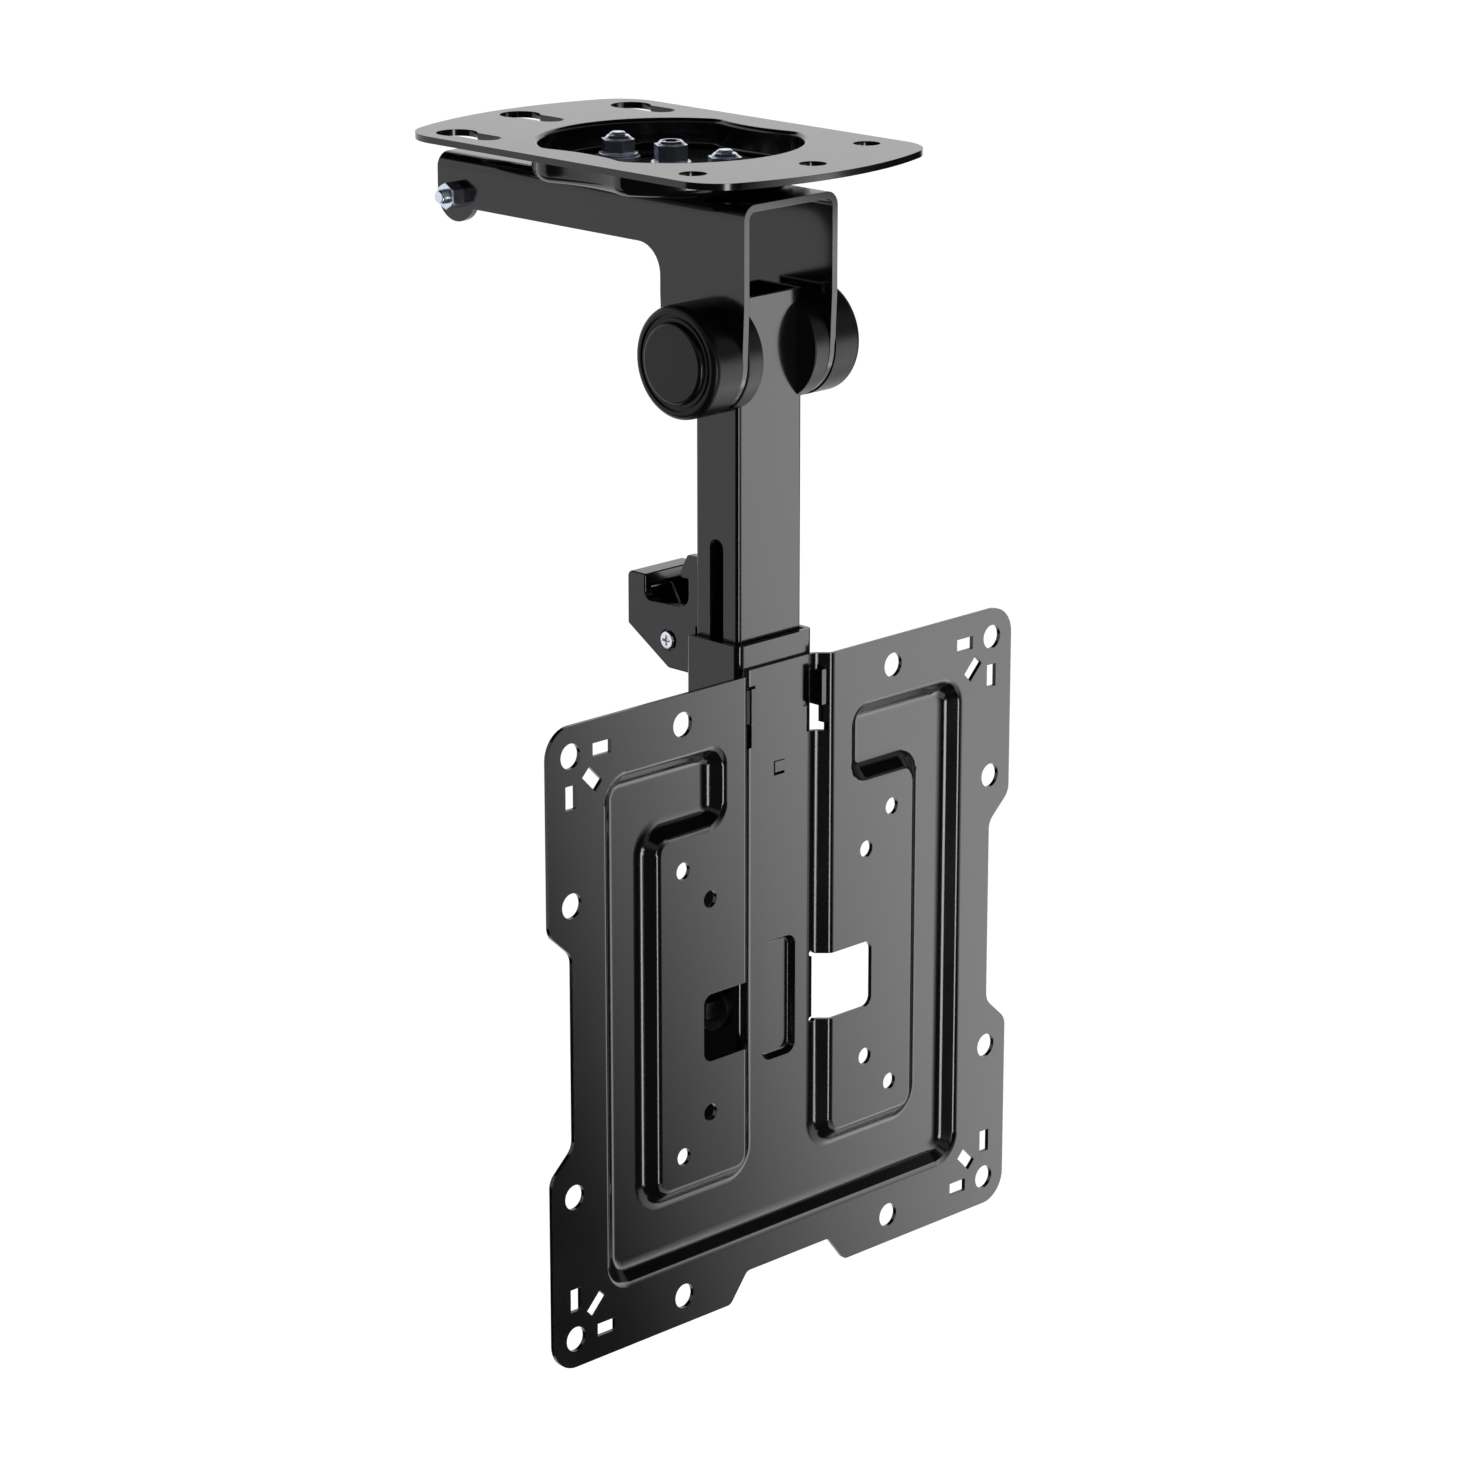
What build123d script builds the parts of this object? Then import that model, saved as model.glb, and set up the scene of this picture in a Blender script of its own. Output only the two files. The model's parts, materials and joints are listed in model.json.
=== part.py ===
from build123d import *
import math
import os

# A folding ceiling mount for a flat screen, in millimetres.
# Origin: on the swivel axis, at the ceiling face. X to the right, -Y towards the viewer, +Z up.
# It is modelled hanging, arm down, with the screen plate facing -Y.

# Ceiling plate
ceiling_t = 2.2
ceiling_w = 104.0
ceiling_front = 80.3
ceiling_rear = 84.5
ceiling_end_r = 117.0
ceiling_corner_r = 17.0
recess_r = 43.6
recess_half_w = 39.3
recess_waist = 36.8
recess_waist_reach = 17.0
recess_depth = 9.4
recess_blend_r = 6.0
recess_bend_r = 1.5
screw_d = 9.0
screw_side_x = 40.0
screw_front_y = 50.5
screw_nose_y = 64.5
key_head_d = 13.8
key_slot_w = 8.8
key_rear_slot_y = 45.0
key_nose_slot_y = 57.5
key_travel = 15.3

# Swivel
swivel_range = 45.0
guide_r = 25.0
stud_d = 6.0
stud_fit = 0.08
guide_play = 0.3
stud_head_d = 9.0
stud_head_t = 1.0
stud_tip_below = 0.2
face_gap = 0.1
friction_t = 0.5
friction_d = 76.0
stud_washer_d = 15.0
stud_washer_t = 1.2
guide_nut_h = 6.8
stud_nut_af = 10.0
stud_flange_d = 13.6
stud_flange_t = 1.2
stud_flange_r = 0.5
stud_collar_step = 0.5
stud_collar_chamfer = 0.8
stud_chamfer = 0.6

# Bracket, a bent sheet in the shape of an upturned channel
bracket_t = 2.4
bracket_w = 43.2
bracket_bend_r = 2.6
bracket_rear = 90.9
arm_drop = 17.4
leg_half_w = 19.2
leg_end_r = 18.4
leg_corner_r = 10.0
ear_r = 9.2
ear_z = -25.7
ear_blend_r = 1.5
striker_d = 5.0
striker_af = 8.0
striker_nut_h = 5.0
striker_tip = 2.9
striker_head_d = 9.2
striker_head_h = 2.6
striker_chamfer = 0.5

# Pivot
pivot_y = -35.9
pivot_z = -64.2
pivot_d = 8.0
pivot_chamfer = 0.7
bolt_fit = 0.02
pivot_fit = 0.08
hub_r = 18.8
hub_overlap = 3.0
hub_gap = 0.25
hub_seat_fit = 0.05
spacer_wall = 2.0
cover_depth = 12.4
cover_wall = 2.0
cover_edge_r = 2.4
cover_inner_r = 1.0
cap_r = 13.6
cap_seat = 0.8
cap_proud = 1.6
cap_peg_d = 5.0
cover_face_t = 2.4
hub_edge_r = 0.6
pivot_af = 13.0
pivot_head_h = 5.3
pivot_nut_h = 7.0
pivot_tip = 0.8
groove_r = 15.4
groove_w = 1.0
groove_depth = 0.6
pivot_washer_d = 17.0
pivot_washer_t = 1.6

# Inner tube
tube_w = 30.0
tube_depth = 20.0
tube_wall = 1.5
tube_corner_r = 1.6
tube_inner_r = 0.5
tube_top = -44.8
tube_bottom = -348.0
slot_w = 6.3
slot_top = -126.0
slot_end_margin = 0.6
plug_t = 2.0
plug_depth = 12.0
plug_fit = 0.1
plug_wall = 2.0
plug_edge_r = 0.8

# Outer sleeve, which slides on the tube
sleeve_wall = 2.0
sleeve_corner_r = 2.6
sleeve_top = -160.0
sleeve_bottom = -338.0
sleeve_side_gap = 0.7
sleeve_front_gap = 0.9
sleeve_back_gap = 0.3
sleeve_top_r = 3.0
slide_down = 42.0
glide_t = 0.5
glide_end = 2.0
clamp_d = 5.9
clamp_pitch = 75.0
clamp_below_centre = 9.0
clamp_washer_d = 18.0
clamp_washer_t = 1.6
clamp_nut_h = 6.0
clamp_head_h = 3.3
clamp_head_d = 13.0
clamp_af = 10.0
clamp_tip = 2.5
clamp_chamfer = 0.6
hook_reach = 6.0
hook_lip = 1.7
hook_notch = 1.3
hook_h = 13.0
hook_edge_r = 0.8
hook_top = 105.5
hook_slot_play = 0.1
hook_slot_under = 0.2

# Screen plate, with its hole pattern about vesa_z
vesa_z = -278.0
plate_t = 1.5
plate_margin = 10.0
plate_corner_r = 10.0
pattern_large = 200.0
pattern_mid = 100.0
pattern_small = 75.0
large_hole_d = 8.5
small_hole_d = 6.0
stamp_depth = 4.95
stamp_slope = 4.9
stamp_floor_r = 5.0
floor_bend_share = 0.45
stamp_brow_r = 2.5
dash_w = 4.5
dash_l = 8.0
dash_straight = 13.8
dash_diagonal = 9.5
side_cut = 10.0
side_cut_clear = 8.0
side_cut_run = 9.0
foot_cut = 10.0
foot_cut_clear = 22.0
foot_cut_run = 8.0
cut_blend_r = 6.0
field_side_in = 15.5
field_top_in = 11.0
field_foot_in = 12.0
field_corner_r = 9.5
strip_w = 20.5
neck_w = 30.5
pad_side = 11.0
pad_end = 12.0
pad_corner_r = 4.5
neck_corner_r = 7.2
window_out = 40.5
window_top = 4.2
window_foot = -19.5
window_r = 3.5
relief_r = 1.0
pocket_w = 16.0
pocket_top = 13.5
pocket_foot = -29.0
pocket_corner_r = 4.0
pocket_depth = 2.6
pocket_slope = 1.2
pocket_bend_r = 0.8
pocket_play = 0.4
pocket_lift = 7.5
catch_w = 5.0
catch_z = 73.7
catch_play = 0.2
catch_proud = 0.3
catch_bevel = 1.0
hook_slot_in = 11.5
hook_slot_out = 19.5
hook_slot_foot_in = 13.1
hook_slot_waist = 18.2
hook_slot_neck_l = 6.3
hook_slot_relief_l = 2.8

# Latch lever on the back of the sleeve
latch_w = 24.8
latch_t = 2.8
latch_pin_back = 13.1
latch_pin_z = 112.3
latch_pin_d = 4.0
latch_pin_fit = 0.06
latch_reach = 19.6
latch_pad_t = 8.6
latch_pad_top = 20.7
latch_pad_drop = 6.0
latch_wall_t = 2.4
latch_wall_foot = 2.3
latch_foot = 9.8
latch_heel = 0.4
latch_toe_in = 2.1
latch_toe_rise = 2.0
latch_heel_r = 2.5
latch_pad_r = 2.0
latch_lip_r = 2.7
latch_root_r = 1.5
latch_slant = 1.0
latch_nose = 0.3
latch_nose_r = 1.0
latch_brow_r = 1.5
latch_foot_r = 0.8
latch_inner_r = 0.5
latch_step = 1.5
latch_tooth_gap = 0.4
latch_edge_r = 0.7
latch_af = 7.0
latch_nut_h = 3.2
latch_tip = 0.8
latch_chamfer = 0.4
latch_notch_front = 9.3
latch_notch_foot = 12.0
latch_notch_r = 3.0
latch_tooth_top = 31.2
latch_tooth_tip = 5.8
latch_tooth_tip_z = 24.7
latch_tooth_under = 22.8
latch_gap = 0.3
latch_head_d = 6.2
latch_head_h = 1.6
latch_head_r = 0.6
latch_cross_l = 3.6
latch_cross_w = 0.9
latch_cross_depth = 1.0
latch_sink_d = 7.4
latch_sink = 0.7
ear_t = 2.0
ear_eye_r = 5.0
spring_wire = 1.0
spring_turns = 4
spring_leg = 10.3
spring_play = 0.7
spring_stretch = 1.12
spring_rest = 0.05
bracket_low = -12.0
bracket_high = 2.5

# Proportions
head_round = 0.8
nut_cone = 1.7
nut_corner = 1.02

# Sizes worked out from the ones above
floor_top = -recess_depth
floor_under = floor_top - ceiling_t
web_top = floor_under - 2.0 * face_gap - friction_t
web_under = web_top - bracket_t
flange_out = bracket_w / 2.0
flange_in = flange_out - bracket_t
leg_front = pivot_y - leg_half_w
leg_rear = pivot_y + leg_half_w
arm_under = web_top - arm_drop
hub_out = flange_in - hub_gap
hub_in = tube_w / 2.0 - hub_overlap
tube_front = pivot_y - tube_depth / 2.0
tube_back = pivot_y + tube_depth / 2.0
sleeve_half = tube_w / 2.0 + sleeve_side_gap + sleeve_wall
sleeve_front = tube_front - sleeve_front_gap - sleeve_wall
sleeve_back = tube_back + sleeve_back_gap + sleeve_wall
plate_floor = sleeve_front - plate_t
plate_face = plate_floor - stamp_depth
plate_back = plate_face + plate_t
clamp_low_z = vesa_z - clamp_below_centre
clamp_high_z = clamp_low_z + clamp_pitch
slot_bottom = clamp_low_z - slide_down - clamp_d / 2.0 - slot_end_margin
latch_pin_y = sleeve_back + latch_pin_back
latch_z = vesa_z + latch_pin_z
cover_face = flange_out + cover_depth
striker_y = bracket_rear - ear_r
plate_size = pattern_large + 2.0 * plate_margin
side_cut_high = pattern_mid / 2.0 - side_cut_clear
side_cut_low = side_cut_high - side_cut_run
foot_cut_out = pattern_mid / 2.0 - foot_cut_clear
foot_cut_in = foot_cut_out - foot_cut_run
field_w = pattern_large / 2.0 - field_side_in
field_top = pattern_large / 2.0 - field_top_in
field_foot = pattern_large / 2.0 - field_foot_in
pad_w = pattern_mid / 2.0 + pad_side
pad_top = pattern_mid / 2.0 + pad_end
field_floor_w = field_w - pad_w - 2.0 * stamp_slope
stamp_turn = math.tan(math.atan2(stamp_depth, stamp_slope) / 2.0)
floor_r = min(stamp_floor_r, floor_bend_share * field_floor_w / stamp_turn)
hook_slot_step = hook_top - hook_h - hook_slot_under
hook_slot_toe = hook_slot_step - hook_slot_neck_l
hook_slot_foot = hook_slot_toe - hook_slot_relief_l
pocket_ratio = pocket_slope / pocket_depth
pocket_grow = plate_t * (math.hypot(1.0, pocket_ratio) - pocket_ratio)
parts = {}


def save(name, shape):
    """Write one piece to its own file."""
    parts[name] = shape
    export_step(shape, "parts/" + name + ".step")


def side_plane(x):
    """Sketch plane across X: local x is Y of the part, local y is Z of the part."""
    return Plane(origin=(x, 0, 0), x_dir=(0, 1, 0), z_dir=(1, 0, 0))


def front_plane(y):
    """Sketch plane facing +Y: local x is -X of the part, local y is Z of the part."""
    return Plane(origin=(0, y, 0), x_dir=(-1, 0, 0), z_dir=(0, 1, 0))


def level(z):
    """Horizontal sketch plane at height z."""
    return Plane(origin=(0, 0, z), x_dir=(1, 0, 0), z_dir=(0, 0, 1))


def bar_x(y, z, radius, x0, x1):
    """Round bar along X from x0 to x1."""
    return extrude(side_plane(x0) * Pos(y, z) * Circle(radius), x1 - x0)


def bar_z(x, y, radius, z0, z1):
    """Round bar along Z from z0 to z1."""
    return extrude(level(z0) * Pos(x, y) * Circle(radius), z1 - z0)


def block(x0, x1, y0, y1, z0, z1):
    """Box between two corners."""
    size = (x1 - x0, y1 - y0, z1 - z0)
    return Pos((x0 + x1) / 2.0, (y0 + y1) / 2.0, (z0 + z1) / 2.0) * Box(*size)


def rounded(points, radii):
    """Face of a polygon whose corner k is rounded by radii[k]."""
    wire = Polyline(*points, close=True)
    face = make_face(wire)
    for point, radius in zip(points, radii):
        if radius > 0:
            corner = face.vertices().sort_by_distance((point[0], point[1], 0))[0]
            face = fillet(corner, radius)
    return face


def disc_on(radius, height):
    """Cylinder standing on the XY plane."""
    return Cylinder(radius, height, align=(Align.CENTER, Align.CENTER, Align.MIN))


def hex_nut(across_flats, height, bore_d):
    """Hexagon nut on the XY plane, its top corners turned off; solid where bore_d is 0."""
    top_r = across_flats / 2.0 * nut_corner
    cone = Cone(top_r + nut_cone * height, top_r, height, align=(Align.CENTER, Align.CENTER, Align.MIN))
    body = extrude(RegularPolygon(across_flats / 2.0, 6, major_radius=False), height) & cone
    if bore_d > 0:
        body = body - Cylinder(bore_d / 2.0, 4 * height)
    return body


def round_head(diameter, height):
    """Domed head on the XY plane."""
    head = disc_on(diameter / 2.0, height)
    return fillet(head.edges().group_by(Axis.Z)[-1], head_round * height)


def flange_nut(across_flats, height, flange_d, bore_d):
    """Lock nut with a flange, a hexagon and a round collar on top."""
    skirt = disc_on(flange_d / 2.0, stud_flange_t)
    skirt = fillet(skirt.edges().group_by(Axis.Z)[-1], stud_flange_r)
    hexagon = extrude(RegularPolygon(across_flats / 2.0, 6, major_radius=False), height - stud_flange_t)
    collar = disc_on(across_flats / 2.0 - stud_collar_step, height)
    collar = chamfer(collar.edges().group_by(Axis.Z)[-1], stud_collar_chamfer)
    nut = skirt + hexagon + collar
    return nut - Cylinder(bore_d / 2.0, 4 * height)


def ring(outer_d, inner_d, thickness):
    """Washer on the XY plane."""
    return disc_on(outer_d / 2.0, thickness) - Cylinder(inner_d / 2.0, 4 * thickness)


def facing_x(x, y, z, side):
    """Location that turns +Z of a piece to +X (side 1) or -X (side -1)."""
    return Location((x, y, z), (0, 90 * side, 0))


def ceiling_outline():
    """Plate outline: straight sides and bowed ends."""
    half = ceiling_w / 2.0
    sag = ceiling_end_r - math.sqrt(ceiling_end_r ** 2 - half ** 2)
    front = -ceiling_front
    rear = ceiling_rear
    wire = [
        Line((half, front + sag), (half, rear - sag)),
        ThreePointArc((half, rear - sag), (0, rear), (-half, rear - sag)),
        Line((-half, rear - sag), (-half, front + sag)),
        ThreePointArc((-half, front + sag), (0, front), (half, front + sag)),
    ]
    face = make_face(Wire(wire))
    return fillet(face.vertices(), ceiling_corner_r)


def recess_outline(inset):
    """Outline of the pressed bowl: a circle with flattened, slightly waisted sides."""
    rise = recess_half_w - recess_waist
    waist_r = (recess_waist_reach ** 2 + rise ** 2) / (2.0 * rise)
    face = Circle(recess_r)
    for side in (-1, 1):
        face = face - Pos(side * (recess_waist + waist_r), 0) * Circle(waist_r)
    face = fillet(face.vertices(), recess_blend_r)
    if inset != 0:
        face = offset(face, -inset)
    return face


def keyhole(x, slot_y):
    """Keyhole cut: a narrow slot end towards the front and a round head behind it."""
    slot = Pos(x, slot_y) * Circle(key_slot_w / 2.0)
    slot = slot + Pos(x, slot_y + key_travel / 2.0) * Rectangle(key_slot_w, key_travel)
    return slot + Pos(x, slot_y + key_travel) * Circle(key_head_d / 2.0)


def arc_slot(middle_angle):
    """Slot in the bowl floor that a guide stud sweeps."""
    width = stud_d + 2.0 * guide_play
    a0 = math.radians(middle_angle - swivel_range)
    mid = math.radians(middle_angle)
    a1 = math.radians(middle_angle + swivel_range)
    inner = guide_r - width / 2.0
    outer = guide_r + width / 2.0
    spot = [(math.cos(a), math.sin(a)) for a in (a0, mid, a1)]
    wire = [
        ThreePointArc(*[(outer * c, outer * s) for c, s in spot]),
        Line((outer * spot[2][0], outer * spot[2][1]), (inner * spot[2][0], inner * spot[2][1])),
        ThreePointArc(*[(inner * c, inner * s) for c, s in spot]),
        Line((inner * spot[0][0], inner * spot[0][1]), (outer * spot[0][0], outer * spot[0][1])),
    ]
    face = make_face(Wire(wire))
    for c, s in (spot[0], spot[2]):
        face = face + Pos(guide_r * c, guide_r * s) * Circle(width / 2.0)
    return face


def make_ceiling_plate():
    """Flat flange with a bowl pressed down in its middle."""
    flange = extrude(level(-ceiling_t) * ceiling_outline(), ceiling_t)
    bowl = extrude(level(floor_under) * recess_outline(-ceiling_t), -floor_under)
    bowl = fillet(bowl.edges().group_by(Axis.Z)[0], ceiling_t + recess_bend_r)
    body = flange + bowl
    hollow = extrude(level(floor_top) * recess_outline(0), recess_depth)
    hollow = fillet(hollow.edges().group_by(Axis.Z)[0], recess_bend_r)
    body = body - hollow
    rim = [e for e in body.edges() if abs(e.center().Z) < 0.001 and e.center().length < recess_r]
    body = fillet(rim, recess_bend_r)
    cuts = Pos(0, -screw_nose_y) * Circle(screw_d / 2.0)
    for side in (-1, 1):
        cuts = cuts + Pos(side * screw_side_x, -screw_front_y) * Circle(screw_d / 2.0)
        cuts = cuts + keyhole(side * screw_side_x, key_rear_slot_y)
    cuts = cuts + keyhole(0, key_nose_slot_y)
    body = body - extrude(level(-3.0 * ceiling_t) * cuts, 4.0 * ceiling_t)
    floor_cuts = Circle(stud_d / 2.0 + stud_fit) + arc_slot(90) + arc_slot(-90)
    return body - extrude(level(floor_under - ceiling_t) * floor_cuts, 3.0 * ceiling_t)


def flange_outline():
    """Side view of the bracket: a deep front leg and a shallow arm to the rear."""
    leg = make_face(Polyline(
        (leg_front, web_top),
        (leg_front, pivot_z + leg_end_r),
        (pivot_y - leg_end_r, pivot_z),
        (pivot_y + leg_end_r, pivot_z),
        (leg_rear, pivot_z + leg_end_r),
        (leg_rear, web_top),
        close=True,
    ))
    leg = leg + Pos(pivot_y, pivot_z) * Circle(leg_end_r)
    arm = Polyline(
        (leg_front, web_top),
        (bracket_rear, web_top),
        (bracket_rear, ear_z),
        (striker_y, ear_z),
        (striker_y, arm_under),
        (leg_front, arm_under),
        close=True,
    )
    shape = leg + make_face(arm)
    inner = shape.vertices().sort_by_distance((leg_rear, arm_under, 0))[0]
    shape = fillet(inner, leg_corner_r)
    shape = shape + Pos(striker_y, ear_z) * Circle(ear_r)
    blend = shape.vertices().sort_by_distance((striker_y - ear_r, arm_under, 0))[0]
    return fillet(blend, ear_blend_r)


def make_bracket():
    """Upturned channel cut from one bent sheet."""
    channel = block(-flange_out, flange_out, leg_front, bracket_rear, pivot_z - hub_r, web_top)
    long_edges = channel.edges().filter_by(Axis.Y).group_by(Axis.Z)[-1]
    channel = fillet(long_edges, bracket_bend_r + bracket_t)
    inside = block(-flange_in, flange_in, leg_front - 1, bracket_rear + 1, pivot_z - 2 * hub_r, web_under)
    inside = fillet(inside.edges().filter_by(Axis.Y).group_by(Axis.Z)[-1], bracket_bend_r)
    sheet = channel - inside
    profile = extrude(side_plane(-flange_out - 1) * flange_outline(), bracket_w + 2)
    sheet = sheet & profile
    sheet = sheet - bar_x(pivot_y, pivot_z, pivot_d / 2.0 + bolt_fit, -bracket_w, bracket_w)
    sheet = sheet - bar_x(striker_y, ear_z, striker_d / 2.0 + bolt_fit, -bracket_w, bracket_w)
    for y in (0.0, guide_r, -guide_r):
        sheet = sheet - bar_z(0, y, stud_d / 2.0, web_under - 1, web_top + 1)
        sheet = sheet - bar_z(0, y, stud_head_d / 2.0, web_under - 1, web_under + stud_head_t)
    return sheet


def stud(y):
    """Stud pressed into the web, its head flush with the underside."""
    head = bar_z(0, y, stud_head_d / 2.0, web_under, web_under + stud_head_t)
    shank = bar_z(0, y, stud_d / 2.0, web_under, -stud_tip_below)
    shank = chamfer(shank.edges().group_by(Axis.Z)[-1], stud_chamfer)
    return head + shank


def make_swivel():
    """Studs, washers, nuts and friction disc of the swivel."""
    save("swivel_stud", stud(0.0))
    save("guide_studs", Compound([stud(guide_r), stud(-guide_r)]))
    disc = Circle(friction_d / 2.0) & Rectangle(bracket_w, 2.0 * friction_d)
    for y in (0.0, guide_r, -guide_r):
        disc = disc - Pos(0, y) * Circle(stud_d / 2.0 + stud_fit)
    save("friction_disc", extrude(level(web_top) * disc, friction_t))
    base = floor_top + face_gap
    washer = ring(stud_washer_d, stud_d + 2 * stud_fit, stud_washer_t)
    save("stud_washers", Compound([Pos(0, y, base) * washer for y in (0.0, guide_r, -guide_r)]))
    seat = base + stud_washer_t
    swivel_nut_h = -stud_tip_below - seat
    save("swivel_nut", Pos(0, 0, seat) * flange_nut(stud_nut_af, swivel_nut_h, stud_flange_d, stud_d))
    nut = flange_nut(stud_nut_af, guide_nut_h, stud_flange_d, stud_d)
    save("guide_nuts", Compound([Pos(0, y, seat) * nut for y in (guide_r, -guide_r)]))


def make_cover(side):
    """Hollow round cover over a flange, with a ring groove and a seat for its cap."""
    shell = disc_on(hub_r, cover_depth)
    shell = fillet(shell.edges().group_by(Axis.Z)[-1], cover_edge_r)
    hollow = disc_on(hub_r - cover_wall, cover_depth - cover_face_t)
    shell = shell - fillet(hollow.edges().group_by(Axis.Z)[-1], cover_inner_r)
    groove = ring(2.0 * groove_r + groove_w, 2.0 * groove_r - groove_w, 2.0 * groove_depth)
    shell = shell - Pos(0, 0, cover_depth - groove_depth) * groove
    shell = shell - Pos(0, 0, cover_depth - cap_seat) * disc_on(cap_r, 2.0 * cap_seat)
    shell = shell - Cylinder(cap_peg_d / 2.0, 4.0 * cover_depth)
    return facing_x(side * flange_out, pivot_y, pivot_z, side) * shell


def make_cap(side):
    """Domed cap pushed into the cover by a short peg."""
    cap = disc_on(cap_r, cap_seat + cap_proud)
    cap = fillet(cap.edges().group_by(Axis.Z)[-1], cap_proud)
    peg_l = cover_face_t - cap_seat
    peg = Pos(0, 0, -peg_l) * disc_on(cap_peg_d / 2.0, peg_l)
    return facing_x(side * (cover_face - cap_seat), pivot_y, pivot_z, side) * (cap + peg)


def make_hub(side):
    """Friction disc beside the tube, slotted to grip the tube's flank."""
    x0, x1 = sorted((side * hub_in, side * hub_out))
    disc = bar_x(pivot_y, pivot_z, hub_r, x0, x1)
    disc = fillet(disc.edges().filter_by(GeomType.CIRCLE), hub_edge_r)
    seat = tube_w / 2.0 + hub_seat_fit
    half = tube_depth / 2.0 + hub_seat_fit
    notch = block(-seat, seat, pivot_y - half, pivot_y + half, pivot_z - 2 * hub_r, pivot_z + 2 * hub_r)
    notch = fillet(notch.edges().filter_by(Axis.Z), tube_corner_r)
    return disc - notch - bar_x(pivot_y, pivot_z, pivot_d / 2.0 + pivot_fit, x0 - 1, x1 + 1)


def make_pivot():
    """Axle bolt, its washers and nut, the spacer, the friction hubs and the covers."""
    head_x = flange_out + pivot_washer_t
    nut_end = head_x + pivot_nut_h
    shank = bar_x(pivot_y, pivot_z, pivot_d / 2.0, -nut_end - pivot_tip, head_x)
    shank = chamfer(shank.edges().group_by(Axis.X)[0], pivot_chamfer)
    head = facing_x(head_x, pivot_y, pivot_z, 1) * hex_nut(pivot_af, pivot_head_h, 0)
    save("pivot_bolt", shank + head)
    washer = ring(pivot_washer_d, pivot_d, pivot_washer_t)
    sides = [facing_x(side * flange_out, pivot_y, pivot_z, side) * washer for side in (-1, 1)]
    save("pivot_washers", Compound(sides))
    nut = hex_nut(pivot_af, pivot_nut_h, pivot_d)
    save("pivot_nut", facing_x(-head_x, pivot_y, pivot_z, -1) * nut)
    bore = pivot_d / 2.0 + pivot_fit
    inner = tube_w / 2.0 - tube_wall
    spacer = bar_x(pivot_y, pivot_z, bore + spacer_wall, -inner, inner)
    save("pivot_spacer", spacer - bar_x(pivot_y, pivot_z, bore, -tube_w, tube_w))
    for side, word in ((-1, "left"), (1, "right")):
        save("pivot_hub_" + word, make_hub(side))
        save("pivot_cover_" + word, make_cover(side))
        save("pivot_cap_" + word, make_cap(side))


def make_striker():
    """Cross bolt at the rear end of the bracket, with its lock nut on the left."""
    shank = bar_x(striker_y, ear_z, striker_d / 2.0, -flange_out - striker_nut_h - striker_tip, flange_out)
    shank = chamfer(shank.edges().group_by(Axis.X)[0], striker_chamfer)
    head = round_head(striker_head_d, striker_head_h)
    save("striker_bolt", shank + facing_x(flange_out, striker_y, ear_z, 1) * head)
    nut = hex_nut(striker_af, striker_nut_h, striker_d)
    save("striker_nut", facing_x(-flange_out, striker_y, ear_z, -1) * nut)


def tube_section(width, depth, radius):
    """Rounded rectangle about the tube's centre line."""
    return Pos(0, pivot_y) * RectangleRounded(width, depth, radius)


def side_slot(z_low, z_high, width):
    """Round-ended cut through both flanks, centres at z_low and z_high."""
    face = Pos(pivot_y, (z_low + z_high) / 2.0) * Rectangle(width, z_high - z_low)
    face = face + Pos(pivot_y, z_low) * Circle(width / 2.0)
    face = face + Pos(pivot_y, z_high) * Circle(width / 2.0)
    return extrude(side_plane(-tube_w) * face, 2.0 * tube_w)


def make_tube():
    """Inner tube with its two long slots, and the plug that closes its lower end."""
    length = tube_top - tube_bottom
    outer = extrude(level(tube_bottom) * tube_section(tube_w, tube_depth, tube_corner_r), length)
    inner_w = tube_w - 2.0 * tube_wall
    inner_d = tube_depth - 2.0 * tube_wall
    hollow = extrude(level(tube_bottom - 1) * tube_section(inner_w, inner_d, tube_inner_r), length + 2)
    tube = outer - hollow
    tube = tube - bar_x(pivot_y, pivot_z, pivot_d / 2.0 + pivot_fit, -tube_w, tube_w)
    tube = tube - side_slot(slot_bottom + slot_w / 2.0, slot_top - slot_w / 2.0, slot_w)
    save("inner_tube", tube)
    lid = extrude(level(tube_bottom - plug_t) * tube_section(tube_w, tube_depth, tube_corner_r), plug_t)
    lid = fillet(lid.edges().group_by(Axis.Z)[0], plug_edge_r)
    stem_w = inner_w - 2.0 * plug_fit
    stem_d = inner_d - 2.0 * plug_fit
    stem = extrude(level(tube_bottom) * tube_section(stem_w, stem_d, tube_inner_r), plug_depth)
    well_w = stem_w - 2.0 * plug_wall
    well_d = stem_d - 2.0 * plug_wall
    well = extrude(level(tube_bottom + plug_t) * tube_section(well_w, well_d, tube_inner_r), plug_depth)
    save("tube_end_plug", lid + stem - well)


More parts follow.
